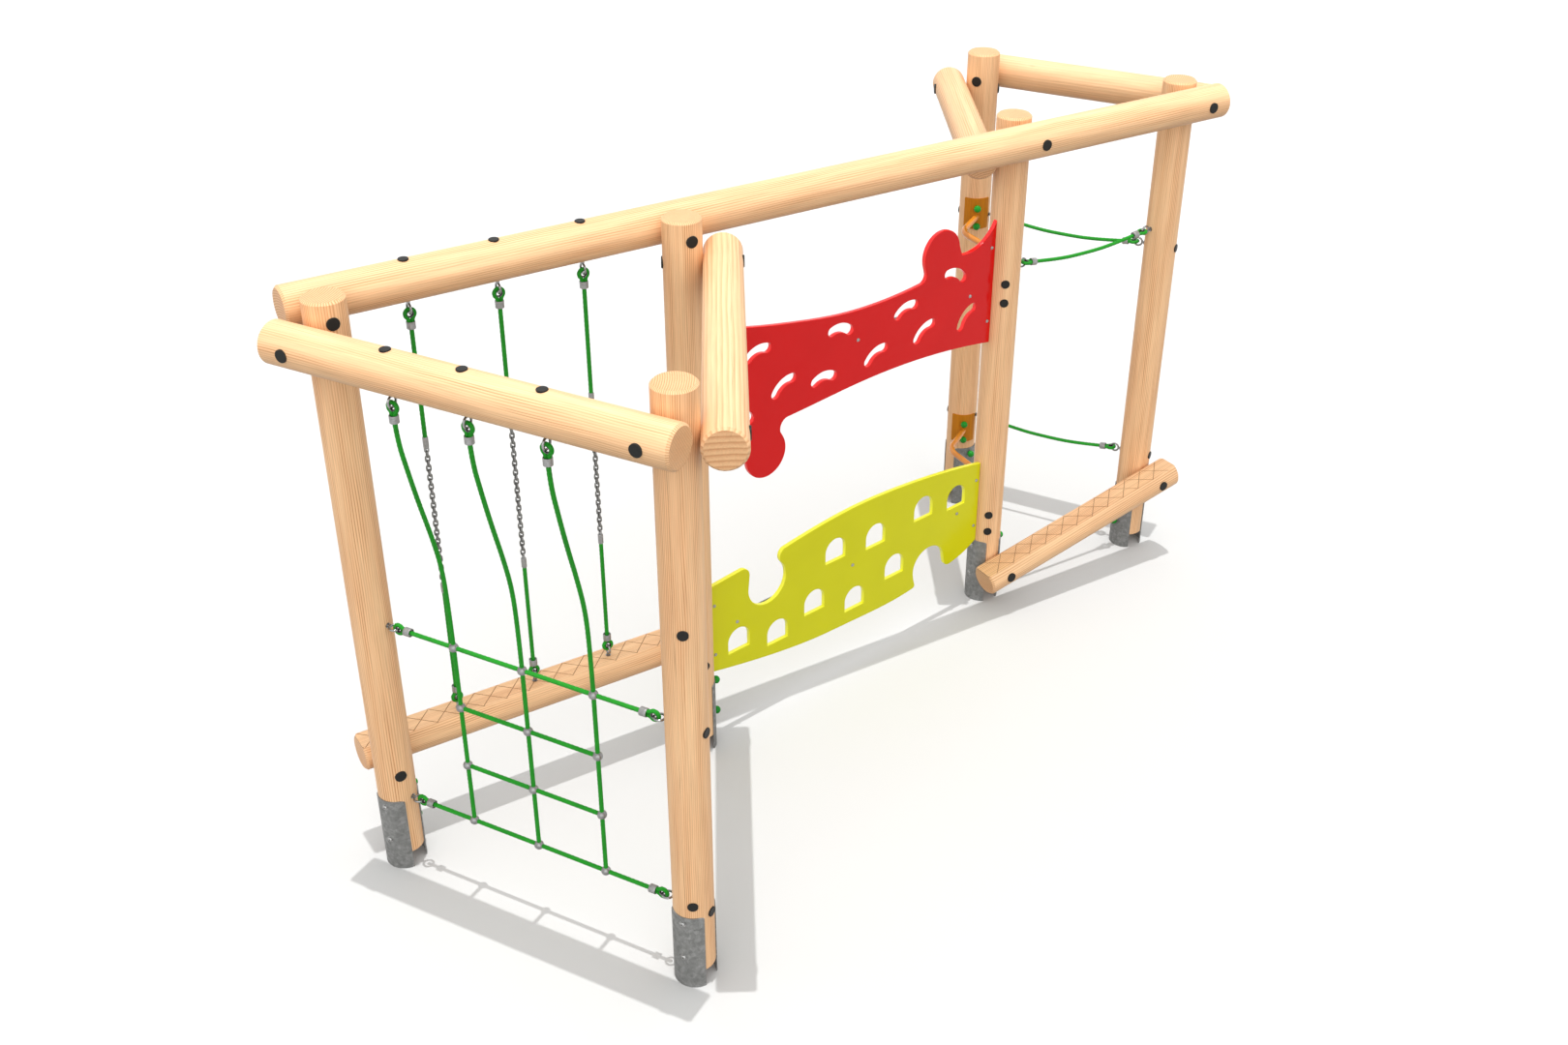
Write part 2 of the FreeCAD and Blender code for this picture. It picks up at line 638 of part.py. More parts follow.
def hand_slot(along, height, tilt):
    """Band of constant width bent over an arc, with round ends."""
    def at(radius, angle):
        turn = math.radians(90 - angle + tilt)
        drop = math.radians(90 + tilt)
        return (along + radius * math.cos(turn) - SLOT_BEND * math.cos(drop),
                height + radius * math.sin(turn) - SLOT_BEND * math.sin(drop))
    half = SLOT_HALF_ANGLE
    outer = SLOT_BEND + SLOT_R
    inner = SLOT_BEND - SLOT_R
    beyond = half + math.degrees(SLOT_R / SLOT_BEND)
    edges = arc(at(outer, -half), at(outer, 0), at(outer, half))
    edges += arc(at(outer, half), at(SLOT_BEND, beyond), at(inner, half))
    edges += arc(at(inner, half), at(inner, 0), at(inner, -half))
    edges += arc(at(inner, -half), at(SLOT_BEND, -beyond), at(outer, -half))
    return edges


def window(along, sill):
    spring = sill + WINDOW_WALL
    left = along - WINDOW_HALF
    right = along + WINDOW_HALF
    edges = line((left, spring), (left, sill), (right, sill), (right, spring))
    return edges + arc((right, spring), (along, spring + WINDOW_HALF), (left, spring))


def make_panel(node, support, outline, openings, screws, end_screws):
    """Plastic panel, and the steel rail between two end brackets behind it."""
    half = PANEL_THICK / 2
    sheet = plate(outline, PANEL_THICK, half)
    for edges in openings:
        sheet = sheet.cut(plate(edges, PANEL_THICK + 20, half + 10))
    rail_z = screws[0][1]
    middle = (end_screws[0] + end_screws[1]) / 2
    bracket_half = (end_screws[0] - end_screws[1]) / 2 + 32
    back = half + RAIL_THICK
    rail_from = END_LEFT + BRACKET_WIDE
    rail_long = END_RIGHT - BRACKET_WIDE - rail_from
    steel = [Part.makeBox(rail_long, RAIL_THICK, 2 * RAIL_HALF, V(rail_from, half, rail_z - RAIL_HALF))]
    lowest = middle - bracket_half
    for axis_at, side in ((0, 1), (SPAN, -1)):
        low_x = END_LEFT if side > 0 else END_RIGHT - BRACKET_WIDE
        strip = Part.makeBox(BRACKET_WIDE, RAIL_THICK, 2 * bracket_half, V(low_x, half, lowest))
        sector = plate_sector(LOG_R, SHOE_WALL, 2 * bracket_half, BRACKET_HALF_ANGLE, 8.0)
        centre_angle = math.degrees(math.asin(back / LOG_R)) + BRACKET_TURN
        sector.rotate(V(0, 0, 0), UP, centre_angle if side > 0 else 180 - centre_angle)
        sector.translate(V(axis_at, 0, lowest))
        sector = sector.cut(Part.makeBox(SPAN, PANEL_THICK, 3000, V(0, -half, 0)))
        steel.append(strip.fuse(sector).removeSplitter())
    head = turned([(0, 0), (SCREW_HEAD_R, 0), (SCREW_HEAD_R, 1.0), (SCREW_HEAD_R * 0.6, 3.6), (0, 4.4)])
    shaft = Part.makeCylinder(SCREW_R, PANEL_THICK + RAIL_THICK, V(0, 0, -PANEL_THICK - RAIL_THICK))
    screw = placed(head.fuse(shaft), V(0, 0, 0), V(1, 0, 0), V(0, -1, 0))
    ends = [(END_LEFT + 21, z) for z in end_screws] + [(END_RIGHT - 21, z) for z in end_screws]
    for along, height in list(screws) + ends:
        hole = Part.makeCylinder(SCREW_R + 0.15, 80, V(along, -40, height), V(0, 1, 0))
        sheet = sheet.cut(hole)
        steel = [bar.cut(hole) for bar in steel]
        fixing = screw.copy()
        fixing.translate(V(along, -half, height))
        put("panel_screws", stand(fixing))
    put(node, stand(sheet))
    put(support, *[stand(bar) for bar in steel])


def make_panels():
    third = (207.0, SPAN / 2, SPAN - 207.0)
    make_panel("panel_upper", "panel_upper_rail", red_outline(), [hand_slot(*slot) for slot in HAND_SLOTS],
               [(s, 1544.0) for s in third], (1724.0, 1399.0))
    make_panel("panel_lower", "panel_lower_rail", yellow_outline(), [window(*place) for place in WINDOWS],
               [(s, 509.5) for s in third], (634.5, 402.5))


# ---- zigzag climbing bars between posts f and d --------------------------------------------------

def make_bar(name, height):
    """Bent tube welded to a curved plate at each post, bolted through both posts."""
    along = towards(POST["f"], POST["d"])
    outward = V(along.y, -along.x, 0)
    start = POST["f"] + UP * height

    def at(distance, bulge):
        return start + along * distance + outward * bulge

    reach = LOG_R + BAR_PLATE_WALL / 2
    points = [at(reach, 0), at(BAR_APEX, BAR_BULGE)]
    points += [at(SIDE_RIGHT - BAR_APEX, -BAR_BULGE), at(SIDE_RIGHT - reach, 0)]
    tube = swept(rounded_path(points, lambda i, half_turn: BAR_BEND_R), BAR_TUBE_R)
    plates = []
    for letter, out in (("f", along), ("d", along * -1)):
        blank = plate_sector(LOG_R, BAR_PLATE_WALL, BAR_PLATE_HIGH, BAR_PLATE_HALF_ANGLE, 6.0)
        base = POST[letter] + UP * (height + BAR_PLATE_UP - BAR_PLATE_HIGH / 2)
        plates.append(placed(blank, base, out, UP))
        tube = tube.cut(post_cylinder(letter))
        for offset in (BAR_BOLT_GAP / 2, -BAR_BOLT_GAP / 2):
            centre = POST[letter] + UP * (height + offset)
            seat = LOG_R + BAR_PLATE_WALL
            put("beam_bolts", rod(centre - out * (LOG_R - BOLT_SHORT), centre + out * seat, 5.0))
            hole = rod(centre - out * (LOG_R + 5), centre + out * (seat + 5), 5.2)
            drill("post_" + letter, hole)
            drill("bar_" + name, hole)
            ball_nut(centre + out * seat, out)
            cap("fitting_caps", centre, out * -1, SMALL_CAP_R, UP)
    put("bar_" + name, tube.fuse(plates))


# ---- assembly ------------------------------------------------------------------------------------

def build():
    for letter in POST:
        make_post(letter)
        make_shoe(letter)
    ahead = V(0, 1, 0)
    cross_beam("beam_ab", "a", "b", AB_OUT, Z_MID)
    bc = towards(POST["b"], POST["c"])
    cross_beam("beam_bc", "b", "c", V(bc.y, -bc.x, 0), Z_LOW)
    df = towards(POST["d"], POST["f"])
    cross_beam("beam_df", "d", "f", V(-df.y, df.x, 0), Z_LOW)
    fe = towards(POST["f"], POST["e"])
    cross_beam("beam_fe", "f", "e", V(-fe.y, fe.x, 0), Z_MID)
    long_beam(ahead)
    balance_beam("balance_level", "a", "c", ahead, Z_BALANCE, Z_BALANCE, BALANCE_OVERHANG)
    balance_beam("balance_sloped", "d", "e", ahead * -1, Z_SLOPE_D, Z_SLOPE_E, OVERHANG)
    make_net()
    make_lines()
    hanging_rope("rope_de", "d", "e", 1610.0, SHORT_ROUTE, blind_near=True)
    hanging_rope("rope_fe_upper", "f", "e", 1520.0, SHORT_ROUTE)
    hanging_rope("rope_fe_lower", "f", "e", 485.0, SHORT_ROUTE)
    hanging_rope("rope_bc_upper", "b", "c", 1454.0, LONG_ROUTE)
    hanging_rope("rope_bc_lower", "b", "c", 366.0, LONG_ROUTE)
    make_panels()
    for name, height in BAR_HEIGHTS.items():
        make_bar(name, height)


def long_beam(ahead):
    """Top log behind posts a and c and in front of posts d and e."""
    start = V(POST["a"].x - OVERHANG, Y_LONG, Z_LONG)
    end = V(POST["e"].x + OVERHANG, Y_LONG, Z_LONG)
    log = bevelled_rod(start, end, LOG_R, CHAMFER, CHAMFER)
    for letter in "acde":
        log = log.cut(post_cylinder(letter))
        beam_bolt("beam_long", letter, ahead if letter in "ac" else ahead * -1, Z_LONG)
    put("beam_long", log)


build()
for node, shapes in groups.items():
    if node in holes:
        cutter = Part.makeCompound(holes[node])
        shapes = [shape.cut(cutter) for shape in shapes]
    solids = [solid for shape in shapes for solid in shape.Solids]
    Part.makeCompound(solids).exportStep("parts/%s.step" % node)
    print(node, len(solids), "valid" if all(s.isValid() for s in solids) else "NOT VALID")
print(len(groups), "nodes")
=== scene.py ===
import math

import bmesh
import bpy
import numpy as np
from mathutils import Matrix, Vector
from mathutils.geometry import tessellate_polygon


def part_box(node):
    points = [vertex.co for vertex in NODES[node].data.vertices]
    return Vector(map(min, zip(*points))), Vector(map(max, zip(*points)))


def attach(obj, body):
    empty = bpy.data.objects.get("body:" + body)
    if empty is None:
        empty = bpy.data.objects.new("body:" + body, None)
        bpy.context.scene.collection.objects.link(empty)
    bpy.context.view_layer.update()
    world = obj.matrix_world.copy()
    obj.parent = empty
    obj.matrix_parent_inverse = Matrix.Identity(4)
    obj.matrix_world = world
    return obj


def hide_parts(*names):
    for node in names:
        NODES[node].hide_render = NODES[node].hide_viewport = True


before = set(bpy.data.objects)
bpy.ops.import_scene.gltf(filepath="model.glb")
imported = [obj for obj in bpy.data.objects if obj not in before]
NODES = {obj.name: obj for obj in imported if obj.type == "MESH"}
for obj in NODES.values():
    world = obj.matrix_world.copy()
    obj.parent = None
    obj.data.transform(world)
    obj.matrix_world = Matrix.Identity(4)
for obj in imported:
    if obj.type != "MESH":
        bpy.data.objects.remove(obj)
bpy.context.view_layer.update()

MM = 0.001
UP = Vector((0, 0, 1))
X_AXIS = Vector((1, 0, 0))
Y_AXIS = Vector((0, 1, 0))

# ---- measures shared with the CAD model, in metres -----------------
LOG_R = 70 * MM
ROPE_R = 8 * MM
ROPE_LAY = 105 * MM       # length of one full turn of the rope's strands
RING_OUT = 30 * MM
LOOP_AT = 18.3 * MM       # a rope loop's centre from its ring's centre
LOOP_R = 16.5 * MM
LOOP_ROPE_R = 7.3 * MM
MOUTH_AT = 44 * MM        # ferrule's mouth from the ring's centre
FERRULE_LONG = 26 * MM
FERRULE_R = 15.5 * MM
BALL_R = 17 * MM
CHAIN_WIRE = 3.0 * MM
CHAIN_REACH = 7.2 * MM    # from a link's middle to its wire's centre line
CHAIN_INNER = 18.7 * MM   # long way, inside a link
PANEL_THICK = 19 * MM
WALKING_FLAT = (50 * MM, 49 * MM)   # height above a balance log's axis and half width
BALANCE_HEIGHT = 425 * MM           # axis of the level balance log
SLOPED_HEIGHT = 296.5 * MM          # axis of the sloped balance log, halfway along
SLOPED_RUN = 880                    # the sloped log's run between its posts, and its rise, in mm
SLOPED_RISE = 203
NET_PARTS = 4                       # the net's columns divide the gap between its posts in four


# ---- reading the CAD nodes -----------------------------------------

def middle_of(node):
    low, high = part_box(node)
    return (low + high) / 2


def post_axis(letter):
    """Where a post's axis meets the ground."""
    middle = middle_of("post_" + letter)
    return Vector((middle.x, middle.y, 0))


POST = {letter: post_axis(letter) for letter in "abcdef"}


def towards(start, end):
    return (end - start).normalized()


def islands(node):
    """Vertex arrays of the separate solids in a CAD node."""
    mesh = NODES[node].data
    points = np.array([v.co for v in mesh.vertices])
    micrometres = np.round(points * 1e6).astype(np.int64)
    _, same = np.unique(micrometres, axis=0, return_inverse=True)
    same = same.reshape(-1)
    parent = np.arange(same.max() + 1)

    def root(i):
        while parent[i] != i:
            parent[i] = parent[parent[i]]
            i = parent[i]
        return i

    for face in mesh.polygons:
        first = root(same[face.vertices[0]])
        for index in face.vertices[1:]:
            other = root(same[index])
            if other != first:
                parent[other] = first
    groups = {}
    for index, group in enumerate(same):
        groups.setdefault(root(group), []).append(index)
    return [points[members] for members in groups.values()]


def centre_of(points):
    return Vector((points.min(0) + points.max(0)) / 2)


def main_axes(points):
    """Directions in which the points spread most, middling and least."""
    spread = points - points.mean(0)
    _, vectors = np.linalg.eigh(spread.T @ spread)
    return [Vector(vectors[:, i]) for i in (2, 1, 0)]


def rod_ends(points):
    """Middle of each end of a long round solid."""
    axis = main_axes(points)[0]
    along = points @ np.array(axis)
    middle = centre_of(points)
    here = middle.dot(axis)
    return middle + axis * (along.min() - here), middle + axis * (along.max() - here)


# ---- mesh helpers --------------------------------------------------

def piece(name, verts, faces, material, body="frame", slot=None, uv=None):
    """A mesh object riding on a CAD body. uv gives (u, v) for each corner of each face."""
    mesh = bpy.data.meshes.new(name)
    mesh.from_pydata(verts, [], faces)
    if uv:
        layer = mesh.uv_layers.new(name="UVMap")
        flat = [value for pair in uv for value in pair]
        layer.data.foreach_set("uv", flat)
    mesh.polygons.foreach_set("use_smooth", [True] * len(mesh.polygons))
    mesh.materials.append(material)
    mesh.validate()
    thing = bpy.data.objects.new(name, mesh)
    bpy.context.scene.collection.objects.link(thing)
    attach(thing, body)
    return thing


def mark_sharp(bm, angle):
    """Hard corners where faces meet at more than an angle in degrees."""
    limit = math.radians(angle)
    for edge in bm.edges:
        if len(edge.link_faces) == 2 and edge.calc_face_angle(0) > limit:
            edge.smooth = False


def sharpen(thing, angle):
    mesh = thing.data
    bm = bmesh.new()
    bm.from_mesh(mesh)
    bmesh.ops.recalc_face_normals(bm, faces=bm.faces)
    mark_sharp(bm, angle)
    bm.to_mesh(mesh)
    bm.free()


class Build:
    """Collects vertices and faces of many small shapes for one piece."""

    def __init__(self):
        self.verts = []
        self.faces = []
        self.uv = []

    def add(self, verts, faces, uv=None):
        base = len(self.verts)
        self.verts.extend(verts)
        self.faces.extend([tuple(i + base for i in face) for face in faces])
        if uv:
            self.uv.extend(uv)

    def placed(self, verts, faces, matrix):
        self.add([matrix @ Vector(v) for v in verts], faces)

    def make(self, name, material, **settings):
        return piece(name, self.verts, self.faces, material, uv=self.uv or None, **settings)


def frame_at(origin, x_axis, z_axis):
    """Matrix that puts a shape's X and Z along the given directions."""
    y_axis = z_axis.cross(x_axis)
    columns = Matrix((x_axis, y_axis, z_axis)).transposed().to_4x4()
    return Matrix.Translation(origin) @ columns


def side_of(axis):
    """A level direction square to an axis, or one square to both X and the axis if it is upright."""
    other = UP if abs(axis.z) < 0.9 else X_AXIS
    return other.cross(axis).normalized()


ON_AXIS = 1e-7            # a lathe point nearer the axis than this is one point on it


def lathe(profile, sides):
    """Surface of revolution about Z from (radius, height) points."""
    verts = []
    faces = []
    rows = []
    for radius, height in profile:
        if radius < ON_AXIS:
            rows.append([len(verts)])
            verts.append((0, 0, height))
            continue
        rows.append(list(range(len(verts), len(verts) + sides)))
        for i in range(sides):
            a = 2 * math.pi * i / sides
            verts.append((radius * math.cos(a), radius * math.sin(a), height))
    for lower, upper in zip(rows, rows[1:]):
        for i in range(sides):
            j = (i + 1) % sides
            if len(lower) == 1:
                faces.append((lower[0], upper[j], upper[i]))
            elif len(upper) == 1:
                faces.append((lower[i], lower[j], upper[0]))
            else:
                faces.append((lower[i], lower[j], upper[j], upper[i]))
    return verts, faces


def distances(points):
    """How far along a line of points each one is."""
    found = [0.0]
    for a, b in zip(points, points[1:]):
        found.append(found[-1] + (b - a).length)
    return found


def resample(points, step):
    """Evenly spaced points along a line of points."""
    lengths = distances(points)
    count = max(2, int(round(lengths[-1] / step)) + 1)
    found = []
    at = 0
    for i in range(count):
        want = lengths[-1] * i / (count - 1)
        while at < len(points) - 2 and lengths[at + 1] < want:
            at += 1
        span = lengths[at + 1] - lengths[at]
        part = (want - lengths[at]) / span if span else 0
        found.append(points[at].lerp(points[at + 1], min(1, max(0, part))))
    return found


# ---- rope ----------------------------------------------------------

STRANDS = 6
STRAND_SHARE = 0.46       # a strand's radius as a share of the rope's
ROPE_SIDES = 36
ROPE_STEP = 6 * MM
LOOP_STEP = 4 * MM        # finer round a rope end's tight loop
ROUTE_DETAIL = 16         # segments per control point of a smooth route


def rope_profile(radius):
    """Outline of six strands laid round a core: (angle, distance)."""
    strand = radius * STRAND_SHARE
    out = radius - strand
    pitch = 2 * math.pi / STRANDS
    outline = []
    for i in range(ROPE_SIDES):
        angle = 2 * math.pi * i / ROPE_SIDES
        near = (angle + pitch / 2) % pitch - pitch / 2
        reach = out * math.cos(near) + math.sqrt(max(0, strand ** 2 - (out * math.sin(near)) ** 2))
        outline.append((angle, reach))
    return outline


def laid_rope(build, points, radius=ROPE_R, step=ROPE_STEP):
    """Adds a twisted rope along a line of points, and gives back its centre line."""
    line = resample(points, step)
    distance = distances(line)
    outline = rope_profile(radius)
    verts = []
    faces = []
    uv = []
    normal = side_of(towards(line[0], line[1]))
    for i, at in enumerate(line):
        ahead = line[min(i + 1, len(line) - 1)]
        behind = line[max(i - 1, 0)]
        tangent = towards(behind, ahead)
        normal = (normal - tangent * normal.dot(tangent)).normalized()
        across = tangent.cross(normal)
        twist = 2 * math.pi * distance[i] / ROPE_LAY
        for angle, reach in outline:
            a = angle + twist
            verts.append(at + normal * (reach * math.cos(a)) + across * (reach * math.sin(a)))
    sides = ROPE_SIDES
    for i in range(len(line) - 1):
        for j in range(sides):
            k = (j + 1) % sides
            faces.append((i * sides + j, i * sides + k, (i + 1) * sides + k, (i + 1) * sides + j))
            u0, u1 = distance[i], distance[i + 1]
            v0, v1 = j / sides, (j + 1) / sides
            uv += [(u0, v0), (u0, v1), (u1, v1), (u1, v0)]
    for ring, order in ((0, -1), (len(line) - 1, 1)):
        loop = [ring * sides + j for j in range(sides)][::order]
        faces.append(tuple(loop))
        uv += [(0, 0)] * sides
    build.add(verts, faces, uv)
    return line


def smooth_route(name, points):
    """Points along the smooth curve that a rope's route controls."""
    curve = bpy.data.curves.new(name + "_route", "CURVE")
    curve.dimensions = "3D"
    curve.resolution_u = ROUTE_DETAIL
    spline = curve.splines.new("NURBS")
    spline.points.add(len(points) - 1)
    for point, place in zip(spline.points, points):
        point.co = (*place, 1)
    spline.order_u = 3
    spline.use_endpoint_u = True
    holder = bpy.data.objects.new(name + "_route", curve)
    mesh = bpy.data.meshes.new_from_object(holder)
    line = [v.co.copy() for v in mesh.vertices]
    bpy.data.objects.remove(holder)
    bpy.data.curves.remove(curve)
    bpy.data.meshes.remove(mesh)
    return line


# ---- node trees ----------------------------------------------------

def set_ramp(elements, stops):
    """Fills a colour ramp from (position, colour) stops."""
    while len(elements) < len(stops):
        elements.new(0.5)
    for element, (place, colour) in zip(elements, stops):
        element.position = place
        element.color = (*colour, 1)


class Tree:
    """Short way to build a material."""

    def __init__(self, name):
        self.material = bpy.data.materials.new(name)
        self.material.use_nodes = True
        self.nodes = self.material.node_tree.nodes
        self.links = self.material.node_tree.links
        self.shader = self.nodes["Principled BSDF"]

    def set(self, node, inputs):
        for key, value in inputs.items():
            socket = node.inputs[key]
            if isinstance(value, bpy.types.NodeSocket):
                self.links.new(value, socket)
            else:
                socket.default_value = value

    def add(self, kind, inputs=None, **settings):
        node = self.nodes.new("ShaderNode" + kind)
        for key, value in settings.items():
            setattr(node, key, value)
        self.set(node, inputs or {})
        return node

    def math(self, operation, a, b=0.0):
        return self.add("Math", {0: a, 1: b}, operation=operation).outputs[0]

    def times(self, a, b):
        return self.math("MULTIPLY", a, b)

    def noise(self, vector, scale, detail=3.0, rough=0.5, distortion=0.0):
        return self.add("TexNoise", {"Vector": vector, "Scale": scale, "Detail": detail, "Roughness": rough,
                                     "Distortion": distortion}).outputs["Fac"]

    def stretched(self, vector, scale, offset=(0, 0, 0), detail=3.0, rough=0.5):
        """Noise with its own scale along each axis."""
        return self.noise(self.mapped(vector, scale=scale, location=offset), 1.0, detail, rough)

    def ramp(self, value, stops):
        node = self.add("ValToRGB", {"Fac": value})
        set_ramp(node.color_ramp.elements, stops)
        return node.outputs["Color"]

    def grey(self, value, low, high, from_low=0.0, from_high=1.0):
        """A number that goes from low to high while value goes from from_low to from_high."""
        node = self.add("MapRange", {"Value": value, "From Min": from_low, "From Max": from_high,
                                     "To Min": low, "To Max": high})
        return node.outputs["Result"]

    def mix(self, factor, a, b, blend="MIX"):
        """Mixes two colours, each an RGB tuple or a socket."""
        a, b = [(*colour, 1) if isinstance(colour, tuple) else colour for colour in (a, b)]
        node = self.add("Mix", data_type="RGBA", blend_type=blend)
        self.set(node, {0: factor, 6: a, 7: b})     # the RGBA type's own factor and colours
        return node.outputs[2]

    def length(self, vector):
        return self.add("VectorMath", {0: vector}, operation="LENGTH").outputs["Value"]

    def facing(self, direction):
        """1 where the surface faces along a direction, either way, down to 0 where it is side on."""
        normal = self.add("NewGeometry").outputs["Normal"]
        dot = self.add("VectorMath", {0: normal, 1: tuple(direction)}, operation="DOT_PRODUCT")
        return self.math("ABSOLUTE", dot.outputs["Value"])

    def place(self):
        return self.add("TexCoord").outputs["Object"]

    def mapped(self, vector, scale=(1, 1, 1), location=(0, 0, 0), rotation=(0, 0, 0)):
        return self.add("Mapping", {"Vector": vector, "Scale": scale, "Location": location,
                                    "Rotation": rotation}).outputs["Vector"]

    def bump(self, height, distance, strength, after=None):
        inputs = {"Height": height, "Distance": distance, "Strength": strength}
        if after is not None:
            inputs["Normal"] = after
        return self.add("Bump", inputs).outputs["Normal"]

    def finish(self, **inputs):
        self.set(self.shader, {key.replace("_", " "): value for key, value in inputs.items()})
        return self.material


# ---- materials -----------------------------------------------------

WOOD_LIGHT = (0.91, 0.61, 0.34)
WOOD_MID = (0.85, 0.50, 0.265)
WOOD_LINE = (0.56, 0.245, 0.095)
KNOT = (0.36, 0.17, 0.07)
# colour inside drying splits, and also the painted shade in the grooves of the walking flats
SPLIT_COLOUR_AND_GROOVE_SHADE = (0.30, 0.15, 0.06)
SAWN_END = (0.90, 0.86, 0.82)       # how much darker the sawn ends are
SPLIT_WANDER = 0.36                 # radians that a split strays in all, round the log
# darkness across one growth line, at shares of its width
LATE_WOOD = [(0.0, 0.0), (0.30, 0.10), (0.62, 0.60), (0.80, 1.0), (0.93, 0.35), (1.0, 0.0)]
SIDE_WANDER = 0.045                 # metres by which the lines stray slowly and quickly
SIDE_RIPPLE = 0.008
END_RIPPLE = 0.004
SPLIT_DEPTH = 4.0                   # of a split in the bump, against the grain's 1
KNOT_CELLS = (11, 11, 4.2)          # knots per metre across and along a log


def split_mark(t, local, angle, seed):
    """Mask of a drying split: a thin wandering line along a log at an angle round it."""
    parts = t.add("SeparateXYZ", {"Vector": local}).outputs
    around = t.math("ARCTAN2", parts["Y"], parts["X"])
    wander = t.stretched(local, (0, 0, 2.2), (seed, 0, 0), 4.0, 0.55)
    here = t.math("ADD", angle - SPLIT_WANDER / 2, t.times(wander, SPLIT_WANDER))
    off = t.math("SUBTRACT", around, here)
    width = t.grey(t.stretched(local, (0, 0, 3.1), (0, seed, 0), 1.0), 0.001, 0.022, 0.42, 0.7)
    inside = t.math("DIVIDE", t.math("ABSOLUTE", off), width)
    return t.grey(inside, 1.0, 0.0, 0.5, 1.0)


def wood(name, origin, along, pitch, pith, seed, contrast=1.0, knots=0.0, split=None, blotch=0.3,
         groove=None, tone=1.0):
    """Pine log about the line through origin. Lengths are in metres.

    pitch is the spacing of its growth lines and pith their centre across its ends. contrast is the
    strength of the lines, knots that of the knots, blotch that of the warm patches, split the angle of a
    drying split, and tone the brightness. groove is (height, half width) of a grooved flat above the
    log's axis, whose grooves get painted shade.
    """
    t = Tree("pine_" + name)
    turn = frame_at(Vector((0, 0, 0)), side_of(along), along).to_3x3().transposed()
    local = t.mapped(t.place(), location=tuple(turn @ -origin), rotation=tuple(turn.to_euler()))
    parts = t.add("SeparateXYZ", {"Vector": local}).outputs
    facing = t.facing(along)
    end = t.grey(facing, 0.0, 1.0, 0.85, 0.93)
    chamfer = t.times(t.grey(facing, 0.0, 1.0, 0.30, 0.45), t.math("SUBTRACT", 1.0, end))

    # growth lines: evenly round the log's side, and as arcs about the pith across its ends
    wander = t.stretched(local, (5, 5, 0.8), (seed * 3.7, 0, 0), 2.0)
    ripple = t.stretched(local, (20, 20, 3.0), (seed, 0, 0), 2.0)
    bend = t.math("ADD", t.times(wander, SIDE_WANDER), t.times(ripple, SIDE_RIPPLE))
    lines_round = round(2 * math.pi * LOG_R / pitch)
    round_log = t.times(t.math("ARCTAN2", parts["Y"], parts["X"]), lines_round / (2 * math.pi))
    across = t.add("CombineXYZ", {"X": t.math("ADD", parts["X"], pith[0]),
                                  "Y": t.math("ADD", parts["Y"], pith[1])})
    reach = t.length(across.outputs["Vector"])
    side_line = t.math("ADD", round_log, t.math("DIVIDE", bend, pitch * 1.1))
    end_line = t.math("DIVIDE", t.math("ADD", reach, t.times(ripple, END_RIPPLE)), pitch)
    line = t.add("Mix", {"Factor": end, "A": side_line, "B": end_line}).outputs["Result"]
    rings = t.ramp(t.math("FRACT", line), [(place, (level,) * 3) for place, level in LATE_WOOD])
    strength = t.grey(t.stretched(local, (34, 34, 1.6), (0, seed, 0), 2.0), 0.10, 1.0, 0.32, 0.66)
    strength = t.math("MAXIMUM", strength, t.times(t.math("ADD", end, chamfer), 0.9))
    lines = t.times(t.times(rings, strength), contrast)

    fibres = t.stretched(local, (330, 330, 6), (seed, seed, 0), 3.0, 0.6)
    fine = t.stretched(local, (1300, 1300, 26), detail=2.0)
    broad = t.stretched(local, (12, 12, 2.0), (0, 0, seed), 3.0, 0.6)
    warm = t.grey(broad, 0.5 - blotch, 0.5 + blotch, 0.3, 0.7)
    colour = t.mix(lines, t.mix(warm, WOOD_LIGHT, WOOD_MID), WOOD_LINE)
    streak = t.grey(fibres, 0.86 * tone, 1.10 * tone, 0.3, 0.7)
    streaks = t.add("CombineXYZ", {"X": streak, "Y": streak, "Z": streak}).outputs["Vector"]
    colour = t.mix(1.0, colour, streaks, "MULTIPLY")
    height = t.math("ADD", t.times(rings, -0.5), t.times(fibres, 0.8))
    if knots:
        spaced = t.mapped(local, scale=KNOT_CELLS, location=(seed * 2.3, 0, seed))
        cells = t.add("TexVoronoi", {"Vector": spaced, "Scale": 1.0, "Randomness": 1.0}).outputs["Distance"]
        colour = t.mix(t.times(t.grey(cells, 1.0, 0.0, 0.03, 0.11), knots), colour, KNOT)
    if split is not None:
        mark = split_mark(t, local, split, seed)
        colour = t.mix(t.times(mark, 0.8), colour, SPLIT_COLOUR_AND_GROOVE_SHADE)
        height = t.math("SUBTRACT", height, t.times(mark, SPLIT_DEPTH))
    if groove:
        up, half = groove
        low = t.grey(parts["Y"], 1.0, 0.0, up - 0.0012, up - 0.0003)
        middle = t.grey(t.math("ABSOLUTE", parts["X"]), 1.0, 0.0, half - 0.0035, half - 0.0025)
        above = t.grey(parts["Y"], 0.0, 1.0, up - 0.004, up - 0.003)
        # painted shade: the bottoms of the walking flat's grooves are coloured dark
        groove_shade = t.times(t.times(low, middle), above)
        colour = t.mix(t.times(groove_shade, 0.85), colour, SPLIT_COLOUR_AND_GROOVE_SHADE)
    colour = t.mix(end, colour, SAWN_END, "MULTIPLY")
    normal = t.bump(height, 0.0006, 0.5)
    normal = t.bump(fine, 0.0002, 0.3, normal)
    rough = t.grey(fibres, 0.42, 0.60, 0.3, 0.7)
    return t.finish(Base_Color=colour, Roughness=rough, Normal=normal, Specular_IOR_Level=0.35)


